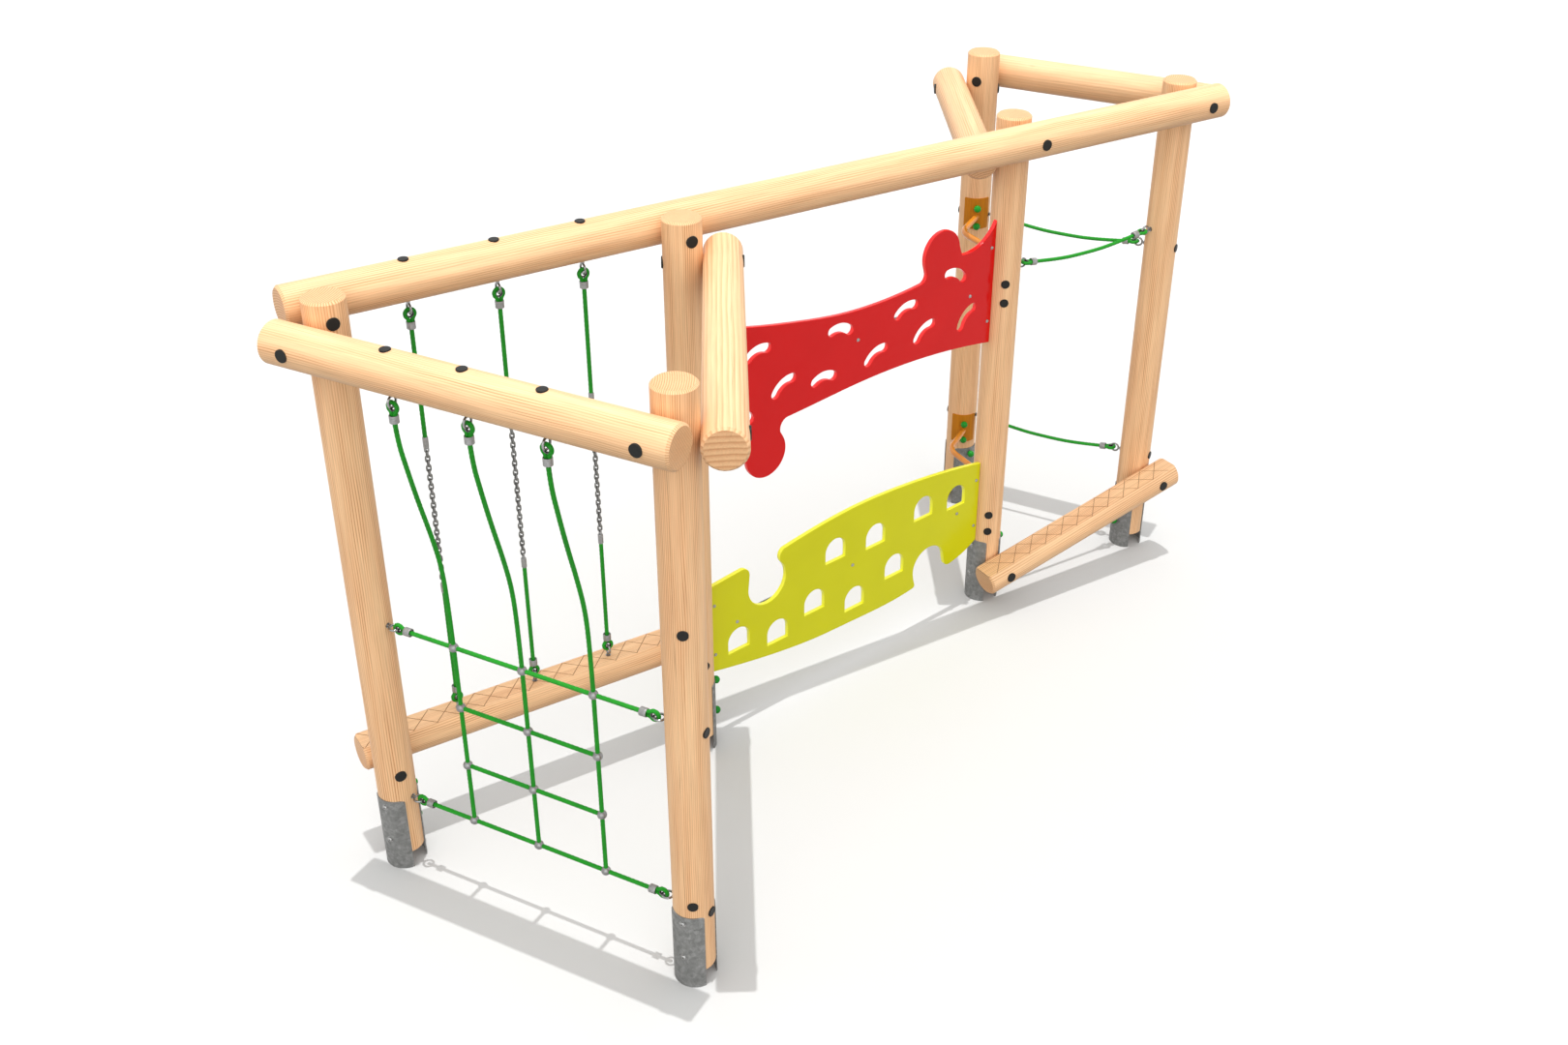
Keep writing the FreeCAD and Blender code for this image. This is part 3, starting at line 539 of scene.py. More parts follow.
def galvanised():
    """Hot-dip zinc: grey spangle cells under a soft cloud of tones."""
    t = Tree("galvanised_steel")
    place = t.place()
    spaced = t.mapped(place, scale=(75, 75, 60))
    cells = t.add("TexVoronoi", {"Vector": spaced, "Scale": 1.0}).outputs["Color"]
    spangle = t.add("SeparateColor", {"Color": cells}).outputs["Red"]
    cloud = t.noise(place, 58.0, 5.0, 0.66, 0.3)
    tone = t.math("ADD", t.times(cloud, 0.8), t.times(spangle, 0.2))
    colour = t.ramp(tone, [(0.28, (0.155, 0.156, 0.150)), (0.5, (0.210, 0.211, 0.204)),
                           (0.72, (0.29, 0.291, 0.283))])
    rough = t.grey(tone, 0.66, 0.46, 0.3, 0.7)
    grit = t.noise(place, 900.0, 3.0, 0.6)
    normal = t.bump(t.math("ADD", t.times(cloud, 2.0), grit), 0.0004, 0.5)
    return t.finish(Base_Color=colour, Metallic=0.35, Roughness=rough, Normal=normal)


def metal(name, colour, dark, low, high, metallic=1.0):
    """Bare or plated metal with fine scratches and dull patches. Its roughness is from low to high."""
    t = Tree(name)
    place = t.place()
    patches = t.noise(place, 60.0, 4.0, 0.6)
    scuffs = t.noise(t.mapped(place, scale=(1, 1, 0.15)), 700.0, 3.0, 0.6)
    tone = t.mix(t.grey(patches, 0.0, 1.0, 0.35, 0.75), colour, dark)
    worn = t.math("ADD", t.times(patches, 0.5), t.times(scuffs, 0.5))
    rough = t.grey(worn, low, high, 0.3, 0.7)
    normal = t.bump(scuffs, 0.00012, 0.5)
    return t.finish(Base_Color=tone, Metallic=metallic, Roughness=rough, Normal=normal)


PLASTIC_SHINE = 0.17
EDGE_SHINE = 0.55


def moulded(name, colour, shade, rough, grain=900.0, depth=0.00010, lit_edge=None):
    """Moulded or sheet plastic with a fine skin and slight unevenness.

    grain is how many bumps of the skin there are to a metre and depth how deep they are, in metres.
    The last argument is (direction of the sheet's face, colour of its edges and the walls of its holes);
    that colour is a painted highlight, brighter than the face, as though lit.
    """
    t = Tree(name)
    place = t.place()
    cloud = t.noise(place, 5.0, 2.0, 0.5)
    skin = t.noise(place, grain, 2.0, 0.5)
    scuff = t.noise(place, 38.0, 4.0, 0.6)
    tone = t.mix(t.grey(cloud, 0.0, 1.0, 0.3, 0.7), colour, shade)
    roughness = t.grey(scuff, rough * 0.9, rough * 1.25, 0.35, 0.75)
    normal = t.bump(skin, depth, 0.4)
    shine = PLASTIC_SHINE
    if lit_edge:
        front, edge_highlight = lit_edge
        # painted highlight: every face that is not the sheet's front or back, its rounded edges and hole
        # walls, gets a brighter colour and more shine
        edge = t.grey(t.facing(front), 1.0, 0.0, 0.55, 0.98)
        tone = t.mix(edge, tone, edge_highlight)
        shine = t.grey(edge, PLASTIC_SHINE, EDGE_SHINE)
    return t.finish(Base_Color=tone, Roughness=roughness, Normal=normal, Specular_IOR_Level=shine)


PLATE_REACH = (LOG_R + 0.0045, LOG_R + 0.0075)     # from a post's axis, where a bar's plate fades out
TUBE_ORANGE = ((0.70, 0.250, 0.020), (0.60, 0.200, 0.015))
PLATE_ORANGE = ((0.56, 0.205, 0.010), (0.46, 0.160, 0.008))


def powder_coat(posts):
    """Glossy on the tube; darker, browner, streaked and duller on the curved plates against the posts."""
    t = Tree("orange_powder_coat")
    place = t.place()
    peel = t.noise(place, 420.0, 2.0, 0.5)
    cloud = t.noise(place, 18.0, 3.0, 0.6)
    level = t.add("VectorMath", {0: place, 1: (1, 1, 0)}, operation="MULTIPLY").outputs["Vector"]
    plate = 0.0
    for axis in posts:
        away = t.add("VectorMath", {0: level, 1: tuple(axis)}, operation="DISTANCE").outputs["Value"]
        plate = t.math("ADD", plate, t.grey(away, 1.0, 0.0, *PLATE_REACH))
    streaks = t.stretched(place, (260, 260, 4), rough=0.6)
    tube_tone = t.mix(t.grey(cloud, 0.0, 1.0, 0.3, 0.7), *TUBE_ORANGE)
    plate_tone = t.mix(t.grey(streaks, 0.0, 1.0, 0.35, 0.65), *PLATE_ORANGE)
    rough = t.math("ADD", t.grey(cloud, 0.14, 0.22), t.times(plate, 0.16))
    return t.finish(Base_Color=t.mix(plate, tube_tone, plate_tone), Roughness=rough,
                    Normal=t.bump(peel, 0.00015, 0.5), Specular_IOR_Level=t.grey(plate, 0.45, 0.15))


ROPE_GREEN = ((0.009, 0.340, 0.011), (0.006, 0.280, 0.009))
YARN_GAP_SHADE = (0.005, 0.150, 0.008)
ROPE_FUZZ = (0.04, 0.50, 0.05)


def rope_fibre():
    """Synthetic yarns laid along each strand. U runs along the rope in metres and V round it."""
    t = Tree("green_rope_yarn")
    uv = t.add("TexCoord").outputs["UV"]
    yarns = t.add("TexWave", {"Vector": t.mapped(uv, scale=(95, 42, 1)), "Scale": 1.0, "Distortion": 1.2,
                              "Detail": 2.0, "Detail Scale": 1.5}, wave_type="BANDS",
                  bands_direction="DIAGONAL").outputs["Fac"]
    fuzz = t.noise(t.place(), 1400.0, 3.0, 0.65)
    dye = t.noise(t.place(), 22.0, 3.0, 0.6)
    tone = t.mix(t.grey(dye, 0.0, 1.0, 0.3, 0.7), *ROPE_GREEN)
    # painted shade: darker green in the gaps between the yarns
    tone = t.mix(t.grey(yarns, 0.22, 0.0), tone, YARN_GAP_SHADE)
    tone = t.mix(t.grey(fuzz, 0.0, 0.05, 0.5, 0.8), tone, ROPE_FUZZ)
    normal = t.bump(t.math("ADD", yarns, t.times(fuzz, 0.5)), 0.0004, 0.7)
    return t.finish(Base_Color=tone, Roughness=0.5, Normal=normal, Specular_IOR_Level=0.3)


FLOOR_SHADED_NEAR = (0.560, 0.560, 0.551)
FLOOR_FAR = (0.60, 0.60, 0.60)
FLOOR_PATCH = (0.4, 0.4, 0.4)


def floor_paint():
    """Matt floor with painted shade: a little darker near the object and lighter away from it."""
    t = Tree("pale_floor")
    soft = t.noise(t.place(), 0.8, 4.0, 0.6)
    reach = t.length(t.place())
    # painted shade: the floor is darker within 1.5 m of the object and lighter from 6 m out
    tone = t.mix(t.grey(reach, 0.0, 1.0, 1.5, 6.0), FLOOR_SHADED_NEAR, FLOOR_FAR)
    tone = t.mix(t.grey(soft, 0.0, 0.04), tone, FLOOR_PATCH)
    return t.finish(Base_Color=tone, Roughness=0.9, Specular_IOR_Level=0.0)


PANEL_LINE = towards(POST["c"], POST["d"])
PANEL_FRONT = Vector((PANEL_LINE.y, -PANEL_LINE.x, 0))
SHEET_SKIN = (0.17, 1100.0, 0.00004)    # roughness, grain and depth

GALVANISED = galvanised()
ZINC = metal("zinc_plate", (0.34, 0.34, 0.34), (0.18, 0.18, 0.175), 0.14, 0.30)
BOLT_METAL = metal("bolt_steel", (0.42, 0.42, 0.415), (0.30, 0.30, 0.295), 0.24, 0.40)
ALUMINIUM = metal("pressed_aluminium", (0.34, 0.34, 0.335), (0.24, 0.24, 0.235), 0.38, 0.52, 0.75)
BALL_METAL = metal("cast_ball", (0.30, 0.30, 0.298), (0.20, 0.20, 0.198), 0.24, 0.38, 0.9)
CHAIN_METAL = metal("chain_steel", (0.24, 0.24, 0.235), (0.13, 0.13, 0.125), 0.30, 0.50)
THIMBLE_METAL = metal("thimble_steel", (0.12, 0.12, 0.12), (0.04, 0.04, 0.04), 0.16, 0.32)
BLACK = moulded("black_cap_plastic", (0.018, 0.018, 0.017), (0.013, 0.013, 0.012), 0.45)
GREEN_NUT = moulded("green_nut_cover", (0.012, 0.300, 0.022), (0.008, 0.220, 0.016), 0.22)
# the colour given after PANEL_FRONT is the painted highlight on each sheet's edges and hole walls
RED = moulded("red_sheet_plastic", (0.68, 0.004, 0.004), (0.65, 0.0035, 0.0035), *SHEET_SKIN,
              lit_edge=(PANEL_FRONT, (0.95, 0.006, 0.006)))
LIME = moulded("lime_sheet_plastic", (0.655, 0.635, 0.004), (0.625, 0.605, 0.0035), *SHEET_SKIN,
               lit_edge=(PANEL_FRONT, (0.90, 0.88, 0.03)))
ORANGE = powder_coat((POST["d"], POST["f"]))
ROPE = rope_fibre()


def paint(material, *nodes):
    for node in nodes:
        NODES[node].data.materials.clear()
        NODES[node].data.materials.append(material)


# growth line spacing in mm, pith across the ends in metres, angle of a drying split
POST_GRAIN = {"a": (8.6, (0.20, 0.16), None), "b": (6.8, (0.19, 0.30), -0.9),
              "c": (7.2, (-0.22, 0.15), None), "d": (7.6, (0.18, -0.20), 2.4),
              "e": (7.4, (-0.14, -0.22), None), "f": (6.8, (0.25, 0.08), -2.2)}
POST_CONTRAST = 1.15


def paint_logs():
    """Each log gets its own growth lines, from its own spacing, pith and seed."""
    for number, (letter, (pitch, pith, split)) in enumerate(POST_GRAIN.items()):
        node = "post_" + letter
        paint(wood(node, POST[letter], UP, pitch * MM, pith, number + 1, POST_CONTRAST, split=split), node)
    balance_y = (POST["a"].y + POST["d"].y) / 2
    slope = towards(POST["d"], POST["e"]) * SLOPED_RUN + UP * SLOPED_RISE
    own_axis = {"balance_level": Vector((POST["a"].x, balance_y, BALANCE_HEIGHT)),
                "balance_sloped": Vector((POST["f"].x, balance_y, SLOPED_HEIGHT))}
    beams = [("beam_long", X_AXIS, 8.4, (0.06, 0.22), {}),
             ("beam_ab", towards(POST["a"], POST["b"]), 8.0, (-0.50, 0.42), {}),
             ("beam_bc", towards(POST["b"], POST["c"]), 19.0, (0.03, 0.90), {"split": 1.9, "contrast": 0.8}),
             ("beam_df", towards(POST["d"], POST["f"]), 9.0, (0.10, 0.30), {"tone": 0.93}),
             ("beam_fe", towards(POST["f"], POST["e"]), 14.0, (0.05, 0.26),
              {"knots": 0.8, "blotch": 0.6, "contrast": 0.45, "tone": 0.93}),
             ("balance_level", X_AXIS, 8.0, (0.05, -0.26), {"groove": WALKING_FLAT}),
             ("balance_sloped", slope.normalized(), 11.0, (0.03, -0.30),
              {"groove": WALKING_FLAT, "split": -0.6})]
    for number, (node, along, pitch, pith, more) in enumerate(beams):
        origin = own_axis.get(node, middle_of(node))
        paint(wood(node, origin, along, pitch * MM, pith, number + 11, **more), node)


# ---- camera, light and floor ---------------------------------------

# fitted to the photograph
CAMERA_AT = (-3.2418, -4.7861, 4.3487)
CAMERA_TURN = (math.radians(58.83), 0, math.radians(-32.04))
CAMERA_LENS = 39.05
SENSOR_WIDTH = 36
FARTHEST_SEEN = 2000
FLOOR_HALF = 500.0


def make_camera():
    data = bpy.data.cameras.new("camera")
    data.sensor_width = SENSOR_WIDTH
    data.lens = CAMERA_LENS
    data.clip_end = FARTHEST_SEEN
    camera = bpy.data.objects.new("camera", data)
    camera.location = CAMERA_AT
    camera.rotation_euler = CAMERA_TURN
    bpy.context.scene.collection.objects.link(camera)
    bpy.context.scene.camera = camera


# name, strength, place, turn and apparent size of each sun, angles in degrees
SUNS = [("overhead", 2.05, (0, 0, 8), (0, 0, 0), 0.35),
        ("front_fill", 1.15, (-4, -6, 4), (68, 0, -34), 70)]
# brightness of the studio from straight below (0) through level (0.5) to straight above (1)
SKY = [(0.0, 0.12), (0.485, 0.13), (0.5, 0.57), (1.0, 0.58)]
SKY_STRENGTH = 2.0


def make_light():
    for name, strength, place, turn, size in SUNS:
        sun = bpy.data.lights.new(name, "SUN")
        sun.energy = strength
        sun.angle = math.radians(size)
        thing = bpy.data.objects.new(name, sun)
        thing.location = place
        thing.rotation_euler = [math.radians(angle) for angle in turn]
        bpy.context.scene.collection.objects.link(thing)
    world = bpy.data.worlds.new("studio")
    bpy.context.scene.world = world
    world.use_nodes = True
    nodes = world.node_tree.nodes
    links = world.node_tree.links
    back = nodes["Background"]
    coords = nodes.new("ShaderNodeTexCoord")
    split = nodes.new("ShaderNodeSeparateXYZ")
    spread = nodes.new("ShaderNodeMapRange")
    spread.inputs["From Min"].default_value = -1
    ramp = nodes.new("ShaderNodeValToRGB")
    links.new(coords.outputs["Generated"], split.inputs["Vector"])
    links.new(split.outputs["Z"], spread.inputs["Value"])
    links.new(spread.outputs["Result"], ramp.inputs["Fac"])
    links.new(ramp.outputs["Color"], back.inputs["Color"])
    set_ramp(ramp.color_ramp.elements, [(place, (level,) * 3) for place, level in SKY])
    back.inputs["Strength"].default_value = SKY_STRENGTH
    bpy.context.scene.view_settings.view_transform = "Standard"


def make_floor():
    mesh = bpy.data.meshes.new("floor")
    half = FLOOR_HALF
    corners = [(-half, -half, 0), (half, -half, 0), (half, half, 0), (-half, half, 0)]
    mesh.from_pydata(corners, [], [(0, 1, 2, 3)])
    mesh.materials.append(floor_paint())
    floor = bpy.data.objects.new("floor", mesh)
    bpy.context.scene.collection.objects.link(floor)
    floor.visible_diffuse = False


# ---- free ropes ----------------------------------------------------

AB = towards(POST["a"], POST["b"])
AB_OUT = Vector((AB.y, -AB.x, 0))
# the CAD model's routes, in mm. A net rope's distance out from the net and its height, from its ferrule
# down to the top row
DROP_ROUTE = [(138, 1972), (134, 1900), (112, 1800), (80, 1665), (40, 1520), (10, 1385), (1.5, 1225),
              (0, 1066)]
# a hanging rope's distance from its first ring towards the second, and its height from the rings
SHORT_ROUTE = [(69.3, -9.7), (200, -28.1), (340, -31.5), (480, -28.1), (610.7, -9.7)]
LONG_ROUTE = [(69.3, -9.7), (200, -28.1), (360, -41), (525, -45), (690, -41), (850, -28.1), (980.7, -9.7)]
# each route's length in metres
SHORT_LENGTH = 0.544
LONG_LENGTH = 0.915
# first post, second post, height of the rings in mm, route and length
HANGING = {"rope_de": ("d", "e", 1610, SHORT_ROUTE, SHORT_LENGTH),
           "rope_fe_upper": ("f", "e", 1520, SHORT_ROUTE, SHORT_LENGTH),
           "rope_fe_lower": ("f", "e", 485, SHORT_ROUTE, SHORT_LENGTH),
           "rope_bc_upper": ("b", "c", 1454, LONG_ROUTE, LONG_LENGTH),
           "rope_bc_lower": ("b", "c", 366, LONG_ROUTE, LONG_LENGTH)}


def free_rope(name, node, route, body):
    """A rope that could hang otherwise, in place of the CAD node of the same rope."""
    build = Build()
    line = laid_rope(build, smooth_route(name, route))
    rope = build.make(name, ROPE, body=body, slot="green_rope")
    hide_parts(node)


def make_net_drops():
    step = ((POST["b"] - POST["a"]).length - 2 * LOG_R) / NET_PARTS
    for number in (1, 2, 3):
        foot = POST["a"] + AB * (LOG_R + step * number)
        route = [foot + AB_OUT * (out * MM) + UP * (z * MM) for out, z in DROP_ROUTE]
        free_rope("net_rope_%d" % number, "net_drop_%d" % number, route, "frame")


def make_hanging_ropes():
    for name, (near, far, height, points, length) in HANGING.items():
        along = towards(POST[near], POST[far])
        ring = POST[near] + along * (LOG_R + RING_OUT) + UP * (height * MM)
        route = [ring + along * (d * MM) + UP * (h * MM) for d, h in points]
        ends = rope_ends(name + "_metal", name + "_loops", name, name)
        free_rope(name + "_hanging", name + "_rope", route, name)


# ---- rope ends -----------------------------------------------------

LEG_SPREAD = 6.6 * MM     # of each of a loop's legs from its middle, in the ferrule's mouth
FLARE_STEPS = 6
ARC_STEPS = 24
INTO_FERRULE = 5 * MM     # how far the legs go on inside the ferrule, and how deep its mouths are
FERRULE_WALL = 2.6 * MM
THIMBLE_HALF = 6.0 * MM   # half width of a thimble's channel
THIMBLE_SHEET = 1.1 * MM
LEAST_FERRULE = 23 * MM   # a pair's ferrule is wider than this, its thimble narrower
FERRULE_CREASE = 28       # degrees
THIMBLE_CREASE = 40


def loop_line():
    """Centre line of a rope end: flared legs and the arc round the thimble, in the XZ plane."""
    reach = MOUTH_AT - LOOP_AT
    flare = (reach ** 2 + LEG_SPREAD ** 2 - LOOP_R ** 2) / (2 * (LOOP_R - LEG_SPREAD))
    flare_centre = Vector((MOUTH_AT, 0, LEG_SPREAD + flare))
    to_loop = (Vector((LOOP_AT, 0, 0)) - flare_centre).normalized()
    sweep = math.acos(-to_loop.z)
    upper = []
    for i in range(FLARE_STEPS + 1):
        a = sweep * i / FLARE_STEPS
        upper.append(flare_centre + Vector((-math.sin(a), 0, -math.cos(a))) * flare)
    start = math.atan2(upper[-1].z, upper[-1].x - LOOP_AT)
    arc = []
    for i in range(1, ARC_STEPS):
        a = start + (2 * math.pi - 2 * start) * i / ARC_STEPS
        arc.append(Vector((LOOP_AT + LOOP_R * math.cos(a), 0, LOOP_R * math.sin(a))))
    lower = [Vector((p.x, 0, -p.z)) for p in reversed(upper)]
    inside = X_AXIS * INTO_FERRULE
    return [upper[0] + inside] + upper + arc + lower + [lower[-1] + inside]


def ferrule_shape():
    """Pressed sleeve, open at both mouths, with two shallow press marks."""
    half = FERRULE_LONG / 2
    r = FERRULE_R
    bore = r - FERRULE_WALL
    pressed = r - 0.5 * MM
    lower = [(0, INTO_FERRULE - half), (bore, INTO_FERRULE - half), (bore, 0.6 * MM - half),
             (bore + 0.6 * MM, -half), (r - 1.1 * MM, -half), (r - 0.3 * MM, 0.4 * MM - half),
             (r, 1.3 * MM - half), (r, -5.2 * MM), (pressed, -4.4 * MM), (pressed, -1.8 * MM),
             (r, -1.0 * MM)]
    return lathe(lower + [(radius, -height) for radius, height in reversed(lower)], 36)


def thimble_shape():
    """Round thimble: a channel whose edges flare up round the rope. Axis Z."""
    channel = LOOP_R - LOOP_ROPE_R
    outer = []
    for i in range(-4, 5):
        y = THIMBLE_HALF * i / 4
        outer.append((LOOP_R - math.sqrt((LOOP_ROPE_R + 0.1 * MM) ** 2 - y * y), y))
    inner = [(max(channel - 1.0 * MM, r - THIMBLE_SHEET), y * 0.97) for r, y in outer]
    ring = outer + inner[::-1]
    return lathe(ring + [ring[0]], 32)


def rope_ends(metal, loops, name, body):
    """Loops, thimbles and ferrules in place of a pair of CAD nodes."""
    ferrules = []
    thimbles = []
    for points in islands(metal):
        size = sorted(points.max(0) - points.min(0))
        (ferrules if size[1] > LEAST_FERRULE else thimbles).append(points)
    ferrule_verts, ferrule_faces = ferrule_shape()
    thimble_verts, thimble_faces = thimble_shape()
    line = loop_line()
    sleeves = Build()
    eyes = Build()
    ropes = Build()
    for points in thimbles:
        middle = centre_of(points)
        sleeve = min((centre_of(p) for p in ferrules), key=lambda c: (c - middle).length)
        out = towards(middle, sleeve)
        face = main_axes(points)[2]
        face = (face - out * face.dot(out)).normalized()
        place = frame_at(middle - out * LOOP_AT, out, out.cross(face))
        sleeves.placed(ferrule_verts, ferrule_faces, frame_at(sleeve, side_of(out), out))
        eyes.placed(thimble_verts, thimble_faces, frame_at(middle, out, face))
        laid_rope(ropes, [place @ p for p in line], LOOP_ROPE_R, LOOP_STEP)
    sleeve = sleeves.make(name + "_ferrules", ALUMINIUM, body=body, slot="ferrule_metal")
    sharpen(sleeve, FERRULE_CREASE)
    eye = eyes.make(name + "_thimbles", THIMBLE_METAL, body=body, slot="ferrule_metal")
    sharpen(eye, THIMBLE_CREASE)
    rope = ropes.make(name + "_rope_loops", ROPE, body=body, slot="green_rope")
    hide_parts(metal)
    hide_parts(loops)
    return sleeve, eye, rope


# ---- straight ropes ------------------------------------------------

INTO_BALL = 6 * MM        # how far a straight rope runs on into a net ball, or into a pressed sleeve
INTO_SLEEVE = 5 * MM


def make_straight_ropes(name, node, tuck):
    """Laid ropes in place of a CAD node's rods, each run a little into what it meets."""
    build = Build()
    for points in islands(node):
        start, end = rod_ends(points)
        along = towards(start, end)
        laid_rope(build, [start - along * tuck, end + along * tuck])
    rope = build.make(name, ROPE, slot="green_rope")
    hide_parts(node)


# ---- chain ---------------------------------------------------------

LINK_TURN = 12            # segments in each rounded end of a link, and round its wire
WELD_SWELL = 1.12


def link_shape():
    """Welded link in the XZ plane with a slight swelling at its weld."""
    reach = CHAIN_REACH
    straight = (CHAIN_INNER + 2 * CHAIN_WIRE) / 2 - reach
    centres = []
    for side in (1, -1):
        for i in range(LINK_TURN + 1):
            a = math.pi * i / LINK_TURN + (0 if side > 0 else math.pi)
            centres.append(Vector((reach * math.cos(a), 0, side * straight + reach * math.sin(a))))
        centres += [Vector((-side * reach, 0, side * straight * (0.6 - 0.4 * i))) for i in range(1, 3)]
    count = len(centres)
    verts = []
    for i, at in enumerate(centres):
        ahead = towards(centres[i - 1], centres[(i + 1) % count])
        outward = ahead.cross(Y_AXIS)
        swell = WELD_SWELL if at.x < 0 and abs(at.z) < 0.5 * straight else 1.0
        for j in range(LINK_TURN):
            a = 2 * math.pi * j / LINK_TURN
            verts.append(at + (outward * math.cos(a) + Y_AXIS * math.sin(a)) * CHAIN_WIRE * swell)
    faces = []
    for i in range(count):
        m = (i + 1) % count
        for j in range(LINK_TURN):
            k = (j + 1) % LINK_TURN
            faces.append((i * LINK_TURN + j, m * LINK_TURN + j, m * LINK_TURN + k, i * LINK_TURN + k))
    return verts, faces


def make_chains():
    verts, faces = link_shape()
    build = Build()
    for points in islands("chains"):
        size = points.max(0) - points.min(0)
        wide = X_AXIS if size[0] > size[1] else Y_AXIS
        build.placed(verts, faces, frame_at(centre_of(points), wide, UP))
    chain = build.make("chain_links", CHAIN_METAL, slot="zinc_steel")
    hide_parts("chains")


# ---- net balls, bolts and screws -----------------------------------

BALL_ROWS = 24
BALL_SEAM = 0.5 * MM


def make_balls():
    """Cast balls in two halves, with a seam between them."""
    profile = [(0.0, -BALL_R)]
    for i in range(1, BALL_ROWS):
        a = math.pi * i / BALL_ROWS - math.pi / 2
        seam = BALL_SEAM if i == BALL_ROWS // 2 else 0
        profile.append(((BALL_R - seam) * math.cos(a), BALL_R * math.sin(a)))
    profile.append((0.0, BALL_R))
    verts, faces = lathe(profile, 40)
    build = Build()
    for points in islands("net_balls"):
        build.placed(verts, faces, frame_at(centre_of(points), AB, AB_OUT))
    balls = build.make("net_ball_joints", BALL_METAL, slot="net_ball")
    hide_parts("net_balls")


def head_end(points):
    """Where a bolt's head stands and which way it faces."""
    start, end = rod_ends(points)
    axis = towards(start, end)
    along = points @ np.array(axis)
    off = points - np.array(centre_of(points))
    off = off - np.outer(off @ np.array(axis), np.array(axis))
    wide = np.linalg.norm(off, axis=1)
    far = along[wide > wide.max() * 0.9].mean()
    if far < (along.min() + along.max()) / 2:
        return start, axis * -1
    return end, axis


WASHER_THICK = 0.9 * MM
HEAD_SIDES = 36
BOLT_CREASE = 32          # degrees
SOCKET_RIM = 1.12         # the opening round a socket, against the socket itself
SHOE_BOLT = {"head_r": 9 * MM, "tall": 6 * MM, "shaft_r": 5 * MM, "shaft_long": 148 * MM,
             "socket_r": 3.2 * MM, "washer_r": 12 * MM}
PANEL_SCREW = {"head_r": 6.5 * MM, "tall": 4.4 * MM, "shaft_r": 4 * MM, "shaft_long": 24 * MM,
               "socket_r": 2.4 * MM, "washer_r": 8.5 * MM}


def bolt_shape(head_r, tall, shaft_r, shaft_long, socket_r, washer_r):
    """Domed head with a six-sided socket, on a washer, over a plain shaft. The head's top is at z=0."""
    parts = Build()
    seat = -tall
    rim = socket_r * SOCKET_RIM
    outside = [(rim, 0.0), (head_r * 0.72, -tall * 0.10), (head_r * 0.90, -tall * 0.34),
               (head_r, -tall * 0.70), (head_r * 0.97, seat),
               (washer_r, seat), (washer_r, seat - WASHER_THICK), (shaft_r, seat - WASHER_THICK),
               (shaft_r, seat - shaft_long), (0, seat - shaft_long)]
    parts.add(*lathe(outside[::-1], HEAD_SIDES))
    well = []
    for z in (0.0, -tall * 0.62):
        for i in range(6):
            a = math.pi * i / 3
            well.append((socket_r * math.cos(a), socket_r * math.sin(a), z))
    faces = [(i + 6, (i + 1) % 6 + 6, (i + 1) % 6, i) for i in range(6)] + [tuple(range(6, 12))]
    ring = []
    for i in range(HEAD_SIDES):
        a = 2 * math.pi * i / HEAD_SIDES
        ring.append((rim * math.cos(a), rim * math.sin(a), 0.0))
        corners = (12 + i, 12 + (i + 1) % HEAD_SIDES, ((i + 1) // 6) % 6, (i // 6) % 6)
        faces.append(tuple(dict.fromkeys(corners)))
    parts.add(well + ring, faces)
    return parts.verts, parts.faces


def make_bolts(name, node, measures):
    """Bolts in place of a CAD node's, each with its head on the side where the CAD has it."""
    verts, faces = bolt_shape(**measures)
    build = Build()
    for points in islands(node):
        top, out = head_end(points)
        build.placed(verts, faces, frame_at(top, side_of(out), out))
    bolts = build.make(name, BOLT_METAL, slot="zinc_steel")
    sharpen(bolts, BOLT_CREASE)
    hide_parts(node)


# ---- climbing panels -----------------------------------------------

EDGE_ROUND = 3.2 * MM
EDGE_STEPS = 5            # rows of points from a face to a rounded edge's end
LEAST_STEP = 0.4 * MM     # between points of an outline
LEAST_HOLE = 15 * MM      # narrower holes are the screws', and stay filled
SAME_POINT = 0.02 * MM
ON_FACE = 0.05 * MM       # a CAD point nearer than this to the front face is on it
SHEET_CREASE = 40         # degrees


def outline_loops(node):
    """The front face's edge loops of a flat CAD panel, in the plane's own (along, up) measures."""
    mesh = NODES[node].data
    points = [v.co for v in mesh.vertices]
    depth = [(p - POST["c"]).dot(PANEL_FRONT) for p in points]
    face_depth = max(depth)
    key = {}
    flat = []
    index = []
    for p, d in zip(points, depth):
        if face_depth - d > ON_FACE:
            index.append(-1)
            continue
        place = (round((p - POST["c"]).dot(PANEL_LINE), 6), round(p.z, 6))
        if place not in key:
            key[place] = len(flat)
            flat.append(place)
        index.append(key[place])
    edges = {}
    for face in mesh.polygons:
        ring = [index[i] for i in face.vertices]
        if min(ring) < 0:
            continue
        for a, b in zip(ring, ring[1:] + ring[:1]):
            if a != b:
                edges[(a, b)] = True
    border = {a: b for a, b in edges if (b, a) not in edges}
    loops = []
    while border:
        start, at = next(iter(border.items()))
        loop = [start]
        del border[start]
        while at != start:
            loop.append(at)
            at = border.pop(at)
        loops.append([Vector(flat[i]) for i in loop])
    return loops, face_depth


def area_of(loop):
    """Area inside a loop, negative if it runs clockwise."""
    return sum(a.x * b.y - b.x * a.y for a, b in zip(loop, loop[1:] + loop[:1])) / 2


